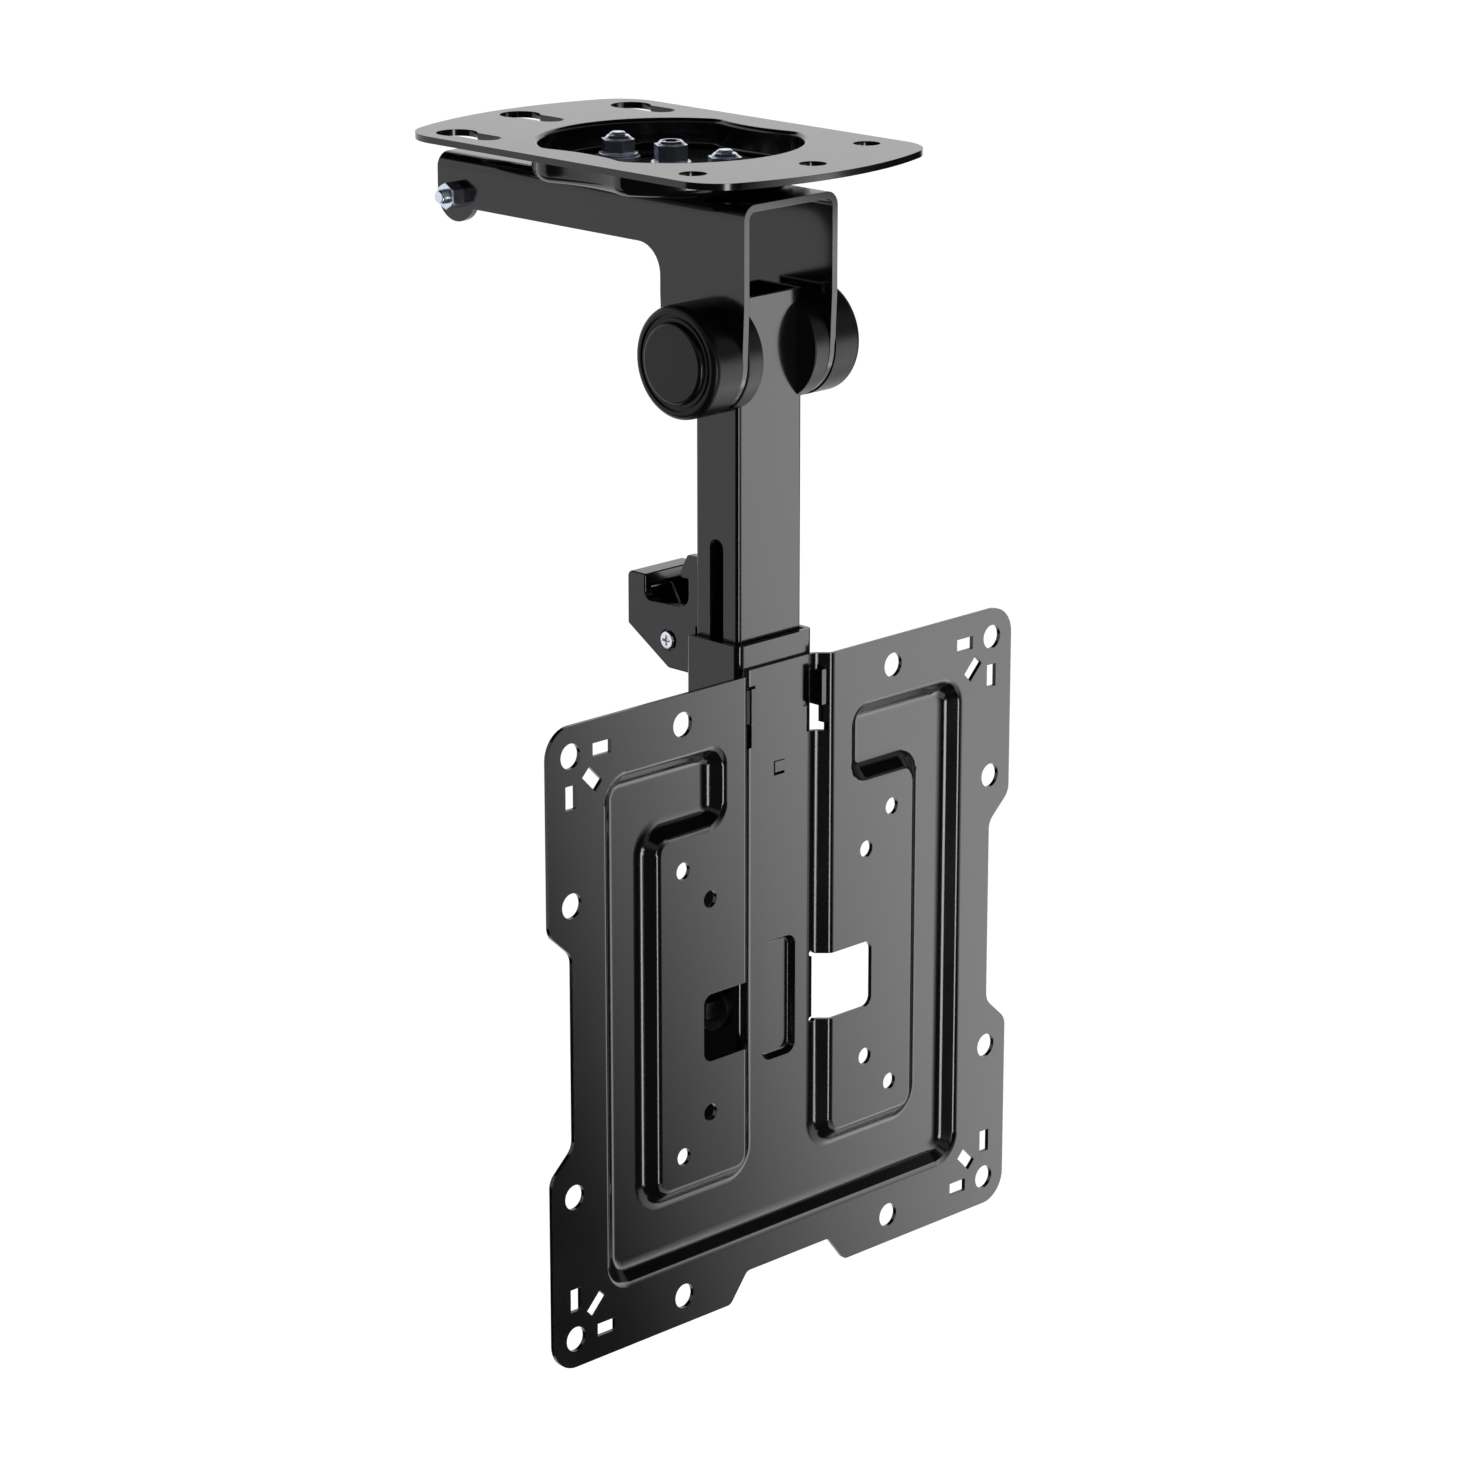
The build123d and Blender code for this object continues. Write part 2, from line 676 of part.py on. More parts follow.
def make_sleeve():
    """Sleeve around the tube, with the two plate hooks, the catch and the clamp holes."""
    depth = sleeve_back - sleeve_front
    centre = (sleeve_back + sleeve_front) / 2.0
    length = sleeve_top - sleeve_bottom
    outline = Pos(0, centre) * RectangleRounded(2.0 * sleeve_half, depth, sleeve_corner_r)
    body = extrude(level(sleeve_bottom) * outline, length)
    curve_y = sleeve_back - sleeve_top_r
    curve_z = sleeve_top - sleeve_top_r
    top_cut = block(-tube_w, tube_w, curve_y, sleeve_back + 1, curve_z, sleeve_top + 1)
    body = body - (top_cut - bar_x(curve_y, curve_z, sleeve_top_r, -2 * tube_w, 2 * tube_w))
    for side in (-1, 1):
        body = body + make_hook(side)
    inner_w = 2.0 * (sleeve_half - sleeve_wall)
    inner_d = depth - 2.0 * sleeve_wall
    hollow = Pos(0, centre) * RectangleRounded(inner_w, inner_d, sleeve_corner_r - sleeve_wall)
    body = body - extrude(level(sleeve_bottom - 1) * hollow, length + 2)
    half = pocket_w / 2.0 + pocket_grow + pocket_play
    low = vesa_z + pocket_foot - pocket_grow - pocket_play
    high = vesa_z + pocket_top + pocket_grow + pocket_lift
    body = body - block(-half, half, sleeve_front - 1, tube_front - sleeve_front_gap / 2.0, low, high)
    body = body + make_catch()
    for z in (clamp_low_z, clamp_high_z):
        body = body - bar_x(pivot_y, z, clamp_d / 2.0, -tube_w, tube_w)
    save("outer_sleeve", body)


def make_hook(side):
    """Blade in line with a sleeve wall; a notch in its top takes the edge of the plate's slot."""
    x0, x1 = sorted((side * (sleeve_half - sleeve_wall), side * sleeve_half))
    top = vesa_z + hook_top
    tip = sleeve_front - hook_reach
    blade = block(x0, x1, tip, sleeve_front + sleeve_corner_r, top - hook_h, top)
    corner = blade.edges().filter_by(Axis.X).sort_by(Axis.Y)[0:2]
    blade = fillet(corner, hook_edge_r)
    return blade - block(x0 - 1, x1 + 1, tip + hook_lip, sleeve_front, top - hook_notch, top + 1)


def make_catch():
    """Bevelled lug on the front of the sleeve that snaps into the plate's square hole."""
    half = catch_w / 2.0 - catch_play
    z = vesa_z + catch_z
    tip = plate_floor - catch_proud
    lug = block(-half, half, tip, sleeve_front, z - half, z + half)
    bevel = lug.edges().filter_by(Axis.X).group_by(Axis.Y)[0].sort_by(Axis.Z)[0]
    return chamfer(bevel, catch_bevel)


def make_clamps():
    """Clamp bolts through the sleeve and the tube's slots, with washers, nuts and glide strips."""
    head_x = sleeve_half
    nut_x = -sleeve_half - clamp_washer_t
    bolts = []
    washers = []
    nuts = []
    for z in (clamp_low_z, clamp_high_z):
        shank = bar_x(pivot_y, z, clamp_d / 2.0, nut_x - clamp_nut_h - clamp_tip, head_x)
        shank = chamfer(shank.edges().group_by(Axis.X)[0], clamp_chamfer)
        bolts.append(shank + facing_x(head_x, pivot_y, z, 1) * round_head(clamp_head_d, clamp_head_h))
        washers.append(facing_x(-sleeve_half, pivot_y, z, -1) * ring(clamp_washer_d, clamp_d, clamp_washer_t))
        nut = hex_nut(clamp_af, clamp_nut_h, clamp_d)
        nuts.append(facing_x(nut_x, pivot_y, z, -1) * nut)
    save("clamp_bolts", Compound(bolts))
    save("clamp_washers", Compound(washers))
    save("clamp_nuts", Compound(nuts))
    strips = []
    outer = sleeve_half - sleeve_wall
    half = (tube_depth - 2.0 * tube_corner_r) / 2.0
    low = sleeve_bottom + glide_end
    high = sleeve_top - sleeve_top_r - glide_end
    for side in (-1, 1):
        x0, x1 = sorted((side * (outer - glide_t), side * outer))
        strip = block(x0, x1, pivot_y - half, pivot_y + half, low, high)
        for z in (clamp_low_z, clamp_high_z):
            strip = strip - bar_x(pivot_y, z, clamp_d / 2.0, -tube_w, tube_w)
        strips.append(strip)
    save("glide_strips", Compound(strips))


def plate_outline():
    """Square plate with cut-back sides and foot."""
    e = plate_size / 2.0
    side = e - side_cut
    foot = -e + foot_cut
    points = [
        (-e, e), (e, e), (e, side_cut_high), (side, side_cut_low), (side, -side_cut_low), (e, -side_cut_high),
        (e, -e), (foot_cut_out, -e), (foot_cut_in, foot), (-foot_cut_in, foot), (-foot_cut_out, -e), (-e, -e),
        (-e, -side_cut_high), (-side, -side_cut_low), (-side, side_cut_low), (-e, side_cut_high),
    ]
    corner = plate_corner_r
    blend = cut_blend_r
    low = cut_blend_r / 2.0
    radii = [corner, corner, blend, blend, blend, blend, corner, low, low, low, low, corner]
    radii += [blend, blend, blend, blend]
    return rounded(points, radii)


def field_outline(d):
    """Pressed field around the two pads, drawn in by d all round; its strip runs off the top edge."""
    out = field_w - d
    top = field_top - d
    foot = -field_foot + d
    pad = pad_w + d
    pad_high = pad_top + d
    pad_low = -pad_w - d
    neck = neck_w + d
    strip = strip_w - d
    over = plate_size / 2.0 + 5.0
    half = [(strip, over), (strip, pad_low), (pad, pad_low), (pad, pad_high), (neck, pad_high), (neck, top)]
    half += [(out, top), (out, foot)]
    inner = field_corner_r - d
    nook = neck_corner_r - d
    round_pad = pad_corner_r + d
    radii = [0, round_pad, round_pad, round_pad, nook, nook, inner, inner]
    points = half + [(-x, z) for x, z in reversed(half)]
    return rounded(points, radii + radii[::-1])


def stamped(outline, y0, depth, d0, slope):
    """Solid between the outline at y0 and the same outline drawn in by slope, depth further back."""
    near = front_plane(y0) * outline(d0)
    far = front_plane(y0 + depth) * outline(d0 + slope)
    return loft([near, far], ruled=True)


def bend_edges(shape, y):
    """Edges in the plane at this Y, without the one where the strip runs off the top."""
    flat = [e for e in shape.edges() if abs(e.center().Y - y) < 0.001 and e.bounding_box().size.Y < 0.001]
    return [e for e in flat if e.center().Z < plate_size / 2.0]


def round_step(body, rim, y, radius):
    """Round the edges where the raised level at this Y turns down, leaving the plate's own rim."""
    return fillet([e for e in bend_edges(body, y) if rim.distance_to(e @ 0.5) > 0.01], radius)


def pocket_outline(d):
    """Round-cornered pocket in the strip, drawn in by d."""
    height = pocket_top - pocket_foot
    face = RectangleRounded(pocket_w - 2.0 * d, height - 2.0 * d, pocket_corner_r - d)
    return Pos(0, (pocket_top + pocket_foot) / 2.0) * face


def plate_cuts():
    """Holes and dashes of the screen pattern, in the plate's own plane."""
    a = pattern_large / 2.0
    b = pattern_mid / 2.0
    c = pattern_small / 2.0
    cuts = None
    for sx in (-1, 1):
        for sz in (-1, 1):
            group = [Pos(sx * p, sz * q) * Circle(large_hole_d / 2.0) for p, q in ((a, a), (b, a), (a, b))]
            group += [Pos(sx * p, sz * p) * Circle(small_hole_d / 2.0) for p in (b, c)]
            group.append(Pos(sx * (a - dash_straight), sz * a) * Rectangle(dash_l, dash_w))
            group.append(Pos(sx * a, sz * (a - dash_straight)) * Rectangle(dash_w, dash_l))
            tilt = 45 * sx * sz
            near = a - dash_diagonal
            group.append(Location((sx * near, sz * near, 0), (0, 0, tilt)) * Rectangle(dash_l, dash_w))
            for shape in group:
                cuts = shape if cuts is None else cuts + shape
    return cuts


def window_cut(side):
    """Window from the foot of the strip's wall out into a pad, with relief nicks at the bend."""
    x0 = strip_w - stamp_slope
    points = [(side * x0, window_foot), (side * window_out, window_foot)]
    points += [(side * window_out, window_top), (side * x0, window_top)]
    face = rounded(points, [0, window_r, window_r, 0])
    for z in (window_foot, window_top):
        face = face + Pos(side * x0, z) * Circle(relief_r)
    return face


def hook_slot(side):
    """Stepped slot beside the strip for a sleeve hook."""
    top = hook_top - hook_notch + hook_slot_play
    half = [
        (hook_slot_foot_in, hook_slot_foot), (hook_slot_out, hook_slot_foot), (hook_slot_out, hook_slot_toe),
        (hook_slot_waist, hook_slot_toe), (hook_slot_waist, hook_slot_step), (hook_slot_out, hook_slot_step),
        (hook_slot_out, top), (hook_slot_in, top), (hook_slot_in, hook_slot_step),
        (hook_slot_foot_in, hook_slot_step),
    ]
    return make_face(Polyline(*[(side * x, z) for x, z in half], close=True))


def make_plate():
    """Stamped screen plate: a raised border and two raised pads around a sunken field."""
    at = Pos(0, 0, vesa_z)
    grow = plate_t * math.hypot(1.0, stamp_slope / stamp_depth) - plate_t * stamp_slope / stamp_depth
    slab = extrude(front_plane(plate_face) * plate_outline(), plate_t)
    pan = stamped(field_outline, plate_back, stamp_depth, -grow, stamp_slope)
    pan = fillet(bend_edges(pan, sleeve_front), floor_r + plate_t)
    hollow = stamped(field_outline, plate_face, stamp_depth, 0.0, stamp_slope)
    hollow = fillet(bend_edges(hollow, plate_floor), floor_r)
    edge = plate_size / 2.0
    trim = block(-edge, edge, plate_face - 1, sleeve_back, -edge, edge)
    body = slab + (pan & trim) - hollow
    body = round_step(body, slab.faces().sort_by(Axis.Y)[0].outer_wire(), plate_face, stamp_brow_r)
    body = round_step(body, slab.faces().sort_by(Axis.Y)[-1].outer_wire(), plate_back, stamp_brow_r - plate_t)
    boss = stamped(pocket_outline, sleeve_front, pocket_depth, -pocket_grow, pocket_slope)
    dip = stamped(pocket_outline, plate_floor, pocket_depth, 0.0, pocket_slope)
    dip = fillet(bend_edges(dip, plate_floor + pocket_depth), pocket_bend_r)
    body = body + boss - dip
    cuts = plate_cuts() + Pos(0, catch_z) * Rectangle(catch_w, catch_w)
    for side in (-1, 1):
        cuts = cuts + window_cut(side) + hook_slot(side)
    body = body - extrude(front_plane(plate_face - 1) * cuts, sleeve_back - plate_face)
    save("vesa_plate", at * body)


def latch_outline():
    """Side view of the lever about its pin: hook tooth, finger notch, pad and sloping foot."""
    front = latch_gap - latch_pin_back
    tooth_front = tube_back + latch_tooth_gap - latch_pin_y
    step = sleeve_top - latch_z + latch_step
    pad_front = latch_reach - latch_pad_t
    points = [
        (latch_reach, latch_wall_foot),
        (latch_reach, latch_pad_top),
        (pad_front, latch_pad_top),
        (pad_front, latch_notch_foot),
        (-latch_notch_front, latch_notch_foot + latch_slant),
        (-latch_notch_front, latch_tooth_under),
        (-latch_tooth_tip - latch_nose, latch_tooth_under),
        (-latch_tooth_tip, latch_tooth_tip_z),
        (-latch_notch_front, latch_tooth_top),
        (tooth_front, latch_tooth_top),
        (tooth_front, step),
        (front, step),
        (front, -latch_toe_rise),
        (front + latch_toe_in, -latch_foot),
        (latch_heel, -latch_foot),
    ]
    radii = [
        latch_foot_r, latch_pad_r, latch_inner_r, latch_notch_r, latch_notch_r + latch_slant, latch_inner_r,
        0, latch_nose_r, latch_brow_r, 0, 0, 0, 0, 0, latch_heel_r,
    ]
    return rounded(points, radii)


def latch_bar(outline, x0, x1):
    """Extrude a side view drawn about the latch pin."""
    plane = Plane(origin=(x0, latch_pin_y, latch_z), x_dir=(0, 1, 0), z_dir=(1, 0, 0))
    return extrude(plane * outline, x1 - x0)


def make_latch():
    """Two-cheeked lever, its hinge bracket, pin screw, nut and return spring."""
    half = latch_w / 2.0
    cheek_in = half - latch_t
    lever = latch_bar(latch_outline(), -half, half)
    lever = lever - latch_bar(latch_inside(), -cheek_in, cheek_in)
    back = latch_pin_y + latch_reach
    rear = [e for e in lever.edges().filter_by(Axis.Z) if abs(e.center().Y - back) < 0.01]
    lever = fillet(rear, latch_edge_r)
    bore = latch_pin_d / 2.0 + latch_pin_fit
    lever = lever - bar_x(latch_pin_y, latch_z, bore, -latch_w, latch_w)
    lever = lever - bar_x(latch_pin_y, latch_z, latch_sink_d / 2.0, -latch_w, -half + latch_sink)
    save("latch_lever", lever)
    ear_out = cheek_in - latch_gap
    base_y = -latch_pin_back
    ear = make_face(Polyline(
        (base_y, bracket_low), (base_y, bracket_high), (0, ear_eye_r), (0, -ear_eye_r), close=True))
    ear = ear + Circle(ear_eye_r)
    bracket = latch_bar(ear, -ear_out, ear_out)
    ear_in = ear_out - ear_t
    bracket = bracket - block(
        -ear_in, ear_in, sleeve_back + ear_t, latch_pin_y + latch_reach,
        latch_z + 2.0 * bracket_low, latch_z + 2.0 * ear_eye_r)
    bracket = bracket - bar_x(latch_pin_y, latch_z, latch_pin_d / 2.0, -latch_w, latch_w)
    save("latch_bracket", bracket)
    make_latch_screw(half)
    make_latch_spring()


def latch_inside():
    """Side view of the space between the cheeks: all but the pad and its rear wall."""
    pad_front = latch_reach - latch_pad_t
    pad_low = latch_pad_top - latch_pad_drop
    wall_in = latch_reach - latch_wall_t
    far = 2.0 * latch_tooth_top
    points = [
        (-far, -far), (far, -far), (far, latch_wall_foot), (wall_in, latch_wall_foot), (wall_in, pad_low),
        (pad_front, pad_low), (pad_front, far), (-far, far),
    ]
    return rounded(points, [0, 0, 0, 0, latch_root_r, latch_lip_r, 0, 0])


def make_latch_screw(half):
    """Cross-headed screw that is the lever's pin, and its nut on the right."""
    seat = -half + latch_sink - face_gap
    nut_x = half + face_gap
    shank = bar_x(latch_pin_y, latch_z, latch_pin_d / 2.0, seat, nut_x + latch_nut_h + latch_tip)
    shank = chamfer(shank.edges().group_by(Axis.X)[-1], latch_chamfer)
    head = disc_on(latch_head_d / 2.0, latch_head_h)
    head = fillet(head.edges().group_by(Axis.Z)[-1], latch_head_r)
    cross_h = 2.0 * latch_cross_depth
    cross = Box(latch_cross_l, latch_cross_w, cross_h) + Box(latch_cross_w, latch_cross_l, cross_h)
    head = head - Pos(0, 0, latch_head_h) * cross
    save("latch_screw", shank + facing_x(seat, latch_pin_y, latch_z, -1) * head)
    nut = hex_nut(latch_af, latch_nut_h, latch_pin_d)
    save("latch_nut", facing_x(nut_x, latch_pin_y, latch_z, 1) * nut)


def make_latch_spring():
    """Torsion spring around the pin: one leg towards the hinge bracket, one under the lever's pad."""
    coil_r = latch_pin_d / 2.0 + spring_play + spring_wire / 2.0
    end_y = latch_reach - latch_wall_t - latch_root_r - spring_wire
    end_z = latch_pad_top - latch_pad_drop - spring_wire / 2.0 - spring_rest
    reach = math.sqrt(end_y ** 2 + end_z ** 2 - coil_r ** 2)
    lean = math.atan2(end_z, end_y) + math.atan2(coil_r, reach)
    pitch = spring_wire * spring_stretch
    length = pitch * (spring_turns + lean / (2.0 * math.pi))
    path = Helix(pitch=pitch, height=length, radius=coil_r)
    wire = Circle(spring_wire / 2.0)
    coil = sweep(Plane(origin=path @ 0, z_dir=path % 0) * wire, path=path, is_frenet=True)
    leg_low = extrude(Plane(origin=path @ 0, z_dir=(path % 0) * -1) * wire, spring_leg)
    leg_high = extrude(Plane(origin=path @ 1, z_dir=path % 1) * wire, reach)
    place = Location((-length / 2.0, latch_pin_y, latch_z), (0, 90, 0))
    save("latch_spring", place * (coil + leg_low + leg_high))


os.makedirs("parts", exist_ok=True)
save("ceiling_plate", make_ceiling_plate())
save("arm_bracket", make_bracket())
make_swivel()
make_pivot()
make_striker()
make_tube()
make_sleeve()
make_clamps()
make_plate()
make_latch()
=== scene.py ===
import json
import logging
import math
from dataclasses import dataclass, field
from enum import Enum

import bmesh
import bpy
from mathutils import Matrix, Vector


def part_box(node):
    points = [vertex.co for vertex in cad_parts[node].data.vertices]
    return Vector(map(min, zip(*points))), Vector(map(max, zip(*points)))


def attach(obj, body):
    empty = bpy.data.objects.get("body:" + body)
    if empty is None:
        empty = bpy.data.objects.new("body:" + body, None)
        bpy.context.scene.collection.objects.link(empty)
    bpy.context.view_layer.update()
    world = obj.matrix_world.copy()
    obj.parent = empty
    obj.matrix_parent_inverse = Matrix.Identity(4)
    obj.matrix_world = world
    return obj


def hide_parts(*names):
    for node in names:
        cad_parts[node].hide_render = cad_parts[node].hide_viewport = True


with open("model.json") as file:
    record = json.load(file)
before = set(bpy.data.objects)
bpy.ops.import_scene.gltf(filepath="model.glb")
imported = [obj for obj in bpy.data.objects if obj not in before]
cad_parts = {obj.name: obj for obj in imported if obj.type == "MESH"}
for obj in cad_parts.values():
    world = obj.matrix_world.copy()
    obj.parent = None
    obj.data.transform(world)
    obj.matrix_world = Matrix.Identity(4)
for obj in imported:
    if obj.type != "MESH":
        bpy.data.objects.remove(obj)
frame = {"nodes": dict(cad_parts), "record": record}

LOG = logging.getLogger("ceiling_mount")
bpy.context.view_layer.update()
MM = 0.001
WHITE = (1.0, 1.0, 1.0, 1.0)
BLACK = (0.0, 0.0, 0.0, 1.0)


class Axis(Enum):
    """Direction that a bolt points in, from its head to its tip."""

    UP = (0.0, 0.0, 1.0)
    LEFT = (-1.0, 0.0, 0.0)


def node_group(name: str, inputs: dict[str, float], outputs: dict[str, str]) -> bpy.types.NodeTree:
    """Make an empty shader node group with float inputs.

    Args:
        name: Name of the group.
        inputs: Input sockets and their default values.
        outputs: Output sockets and their socket types.

    Returns:
        The new group, with one Group Input and one Group Output node.
    """
    group = bpy.data.node_groups.new(name, "ShaderNodeTree")
    for label, value in inputs.items():
        socket = group.interface.new_socket(name=label, in_out="INPUT", socket_type="NodeSocketFloat")
        socket.default_value = value
    for label, kind in outputs.items():
        group.interface.new_socket(name=label, in_out="OUTPUT", socket_type=kind)
    group.nodes.new("NodeGroupInput")
    group.nodes.new("NodeGroupOutput")
    return group


def ends(group: bpy.types.NodeTree) -> tuple[bpy.types.Node, bpy.types.Node]:
    """Find the Group Input and the Group Output node of a group.

    Args:
        group: The group.

    Returns:
        The two nodes.
    """
    source = next(n for n in group.nodes if n.bl_idname == "NodeGroupInput")
    sink = next(n for n in group.nodes if n.bl_idname == "NodeGroupOutput")
    return source, sink


def map_range(tree: bpy.types.NodeTree, value: bpy.types.NodeSocket, low: float, high: float,
              start: float = 0.0, stop: float = 1.0, smooth: bool = False) -> bpy.types.Node:
    """Add a Map Range node that takes start..stop to low..high.

    Args:
        tree: The tree that gets the node.
        value: Socket that carries the value.
        low: Result at start.
        high: Result at stop.
        start: Value where the change begins.
        stop: Value where the change ends.
        smooth: Whether the change eases in and out.

    Returns:
        The Map Range node.
    """
    node = tree.nodes.new("ShaderNodeMapRange")
    node.interpolation_type = "SMOOTHSTEP" if smooth else "LINEAR"
    node.inputs["From Min"].default_value = start
    node.inputs["From Max"].default_value = stop
    node.inputs["To Min"].default_value = low
    node.inputs["To Max"].default_value = high
    tree.links.new(value, node.inputs["Value"])
    return node


def calculate(tree: bpy.types.NodeTree, operation: str,
              *values: bpy.types.NodeSocket | float) -> bpy.types.NodeSocket:
    """Add a Math node.

    Args:
        tree: The tree that gets the node.
        operation: Name of the operation.
        values: Its operands, each a socket or a number.

    Returns:
        The socket with the result.
    """
    node = tree.nodes.new("ShaderNodeMath")
    node.operation = operation
    for socket, value in zip(node.inputs, values):
        if isinstance(value, float):
            socket.default_value = value
        else:
            tree.links.new(value, socket)
    return node.outputs[0]


def split_place(tree: bpy.types.NodeTree) -> bpy.types.Node:
    """Add nodes that split the object coordinates.

    Args:
        tree: The tree that gets the nodes.

    Returns:
        The node with the outputs X, Y and Z.
    """
    place = tree.nodes.new("ShaderNodeTexCoord")
    split = tree.nodes.new("ShaderNodeSeparateXYZ")
    tree.links.new(place.outputs["Object"], split.inputs[0])
    return split


def noise(tree: bpy.types.NodeTree, coordinates: bpy.types.NodeSocket, scale: float,
          detail: float) -> bpy.types.Node:
    """Add a Noise Texture.

    Args:
        tree: The tree that gets the node.
        coordinates: Socket with the coordinates, in metres.
        scale: Features for each metre.
        detail: Octaves of finer noise.

    Returns:
        The Noise Texture node.
    """
    node = tree.nodes.new("ShaderNodeTexNoise")
    node.inputs["Scale"].default_value = scale
    node.inputs["Detail"].default_value = detail
    tree.links.new(coordinates, node.inputs["Vector"])
    return node


def build_cloud_group() -> bpy.types.NodeTree:
    """Build the slow change of tone and gloss that handling leaves, and a fine grain.

    Returns:
        A group with the inputs Size and Grain, in features for each metre, and the outputs Mask and Height.
    """
    group = node_group("handling_clouds", {"Size": 30.0, "Grain": 1500.0},
                       {"Mask": "NodeSocketFloat", "Height": "NodeSocketFloat"})
    source, sink = ends(group)
    place = group.nodes.new("ShaderNodeTexCoord")
    patches = noise(group, place.outputs["Object"], 30.0, detail=3.0)
    grain = noise(group, place.outputs["Object"], 1500.0, detail=2.0)
    group.links.new(source.outputs["Size"], patches.inputs["Scale"])
    group.links.new(source.outputs["Grain"], grain.inputs["Scale"])
    spread = map_range(group, patches.outputs["Fac"], 0.0, 1.0, start=0.35, stop=0.65)
    group.links.new(spread.outputs["Result"], sink.inputs["Mask"])
    group.links.new(grain.outputs["Fac"], sink.inputs["Height"])
    return group


def build_edge_group() -> bpy.types.NodeTree:
    """Build softened edges and a mask of where they are.

    Returns:
        A group with the input Radius, in metres, and the outputs Normal and Edge.
    """
    group = node_group("soft_edges", {"Radius": 0.0003},
                       {"Normal": "NodeSocketVector", "Edge": "NodeSocketFloat"})
    source, sink = ends(group)
    bevel = group.nodes.new("ShaderNodeBevel")
    bevel.samples = 6
    group.links.new(source.outputs["Radius"], bevel.inputs["Radius"])
    place = group.nodes.new("ShaderNodeNewGeometry")
    match = group.nodes.new("ShaderNodeVectorMath")
    match.operation = "DOT_PRODUCT"
    group.links.new(bevel.outputs["Normal"], match.inputs[0])
    group.links.new(place.outputs["Normal"], match.inputs[1])
    mask = map_range(group, match.outputs["Value"], 1.0, 0.0, start=0.80, stop=0.98)
    group.links.new(bevel.outputs["Normal"], sink.inputs["Normal"])
    group.links.new(mask.outputs["Result"], sink.inputs["Edge"])
    return group


CLOUDS = build_cloud_group()
EDGES = build_edge_group()


@dataclass(frozen=True)
class Finish:
    """A surface finish: two tones, a gloss range, a fine grain and a softened edge."""

    name: str
    tone: tuple[float, float, float]
    tone_worn: tuple[float, float, float]
    gloss_low: float
    gloss_high: float
    metallic: float = 0.0
    patch_size: float = 30.0
    grain_size: float = 1500.0
    grain_depth: float = 0.000004
    grain_strength: float = 0.2
    edge_radius: float = 0.00025
    edge_gloss: float = 0.0
    ior: float = 1.5

    def clouds(self, tree: bpy.types.NodeTree) -> bpy.types.Node:
        """Place the shared handling clouds with this finish's sizes.

        Args:
            tree: The material's node tree.

        Returns:
            The group node.
        """
        node = tree.nodes.new("ShaderNodeGroup")
        node.node_tree = CLOUDS
        node.inputs["Size"].default_value = self.patch_size
        node.inputs["Grain"].default_value = self.grain_size
        return node

    def edges(self, tree: bpy.types.NodeTree) -> bpy.types.Node:
        """Place the shared soft edges with this finish's radius.

        Args:
            tree: The material's node tree.

        Returns:
            The group node.
        """
        node = tree.nodes.new("ShaderNodeGroup")
        node.node_tree = EDGES
        node.inputs["Radius"].default_value = self.edge_radius
        return node

    def blend(self, tree: bpy.types.NodeTree, mask: bpy.types.NodeSocket) -> bpy.types.NodeSocket:
        """Blend the two tones.

        Args:
            tree: The material's node tree.
            mask: Socket that is 1 where the worn tone shows.

        Returns:
            The socket with the colour.
        """
        node = tree.nodes.new("ShaderNodeMix")
        node.data_type = "RGBA"
        factor, fresh, worn = node.inputs[0], node.inputs[6], node.inputs[7]
        fresh.default_value = (*self.tone, 1.0)
        worn.default_value = (*self.tone_worn, 1.0)
        tree.links.new(mask, factor)
        return node.outputs[2]

    def material(self) -> bpy.types.Material:
        """Build the finish as a material.

        Returns:
            A material that reads object coordinates.
        """
        made = bpy.data.materials.new(self.name)
        made.use_nodes = True
        tree = made.node_tree
        surface = tree.nodes["Principled BSDF"]
        surface.inputs["Metallic"].default_value = self.metallic
        surface.inputs["IOR"].default_value = self.ior
        clouds = self.clouds(tree)
        edges = self.edges(tree)
        tree.links.new(self.blend(tree, clouds.outputs["Mask"]), surface.inputs["Base Color"])
        gloss = map_range(tree, clouds.outputs["Mask"], self.gloss_low, self.gloss_high)
        rubbed = calculate(tree, "MULTIPLY_ADD", edges.outputs["Edge"], self.edge_gloss,
                           gloss.outputs["Result"])
        tree.links.new(rubbed, surface.inputs["Roughness"])
        bump = tree.nodes.new("ShaderNodeBump")
        bump.inputs["Strength"].default_value = self.grain_strength
        bump.inputs["Distance"].default_value = self.grain_depth
        tree.links.new(clouds.outputs["Height"], bump.inputs["Height"])
        tree.links.new(edges.outputs["Normal"], bump.inputs["Normal"])
        tree.links.new(bump.outputs["Normal"], surface.inputs["Normal"])
        return made


def powder_coat(name: str, gloss: float = 0.13) -> Finish:
    """Smooth black powder coat.

    Args:
        name: Name of the material.
        gloss: Roughness of its shiniest patches.

    Returns:
        The finish.
    """
    return Finish(name, (0.0022, 0.0022, 0.0024), (0.003, 0.003, 0.0032), gloss, gloss + 0.03,
                  patch_size=18.0, grain_size=1100.0, grain_depth=0.000002, grain_strength=0.12,
                  edge_radius=0.00015, edge_gloss=0.03)


def moulded_plastic(name: str, gloss: float, ior: float = 1.4) -> Finish:
    """Moulded black plastic with a fine spark-eroded grain.

    Args:
        name: Name of the material.
        gloss: Roughness of its shiniest patches.
        ior: How strongly it reflects.

    Returns:
        The finish.
    """
    return Finish(name, (0.0015, 0.0015, 0.0017), (0.0025, 0.0025, 0.0028), gloss, gloss + 0.05,
                  patch_size=60.0, grain_size=3200.0, grain_depth=0.000005, edge_radius=0.00015, ior=ior)


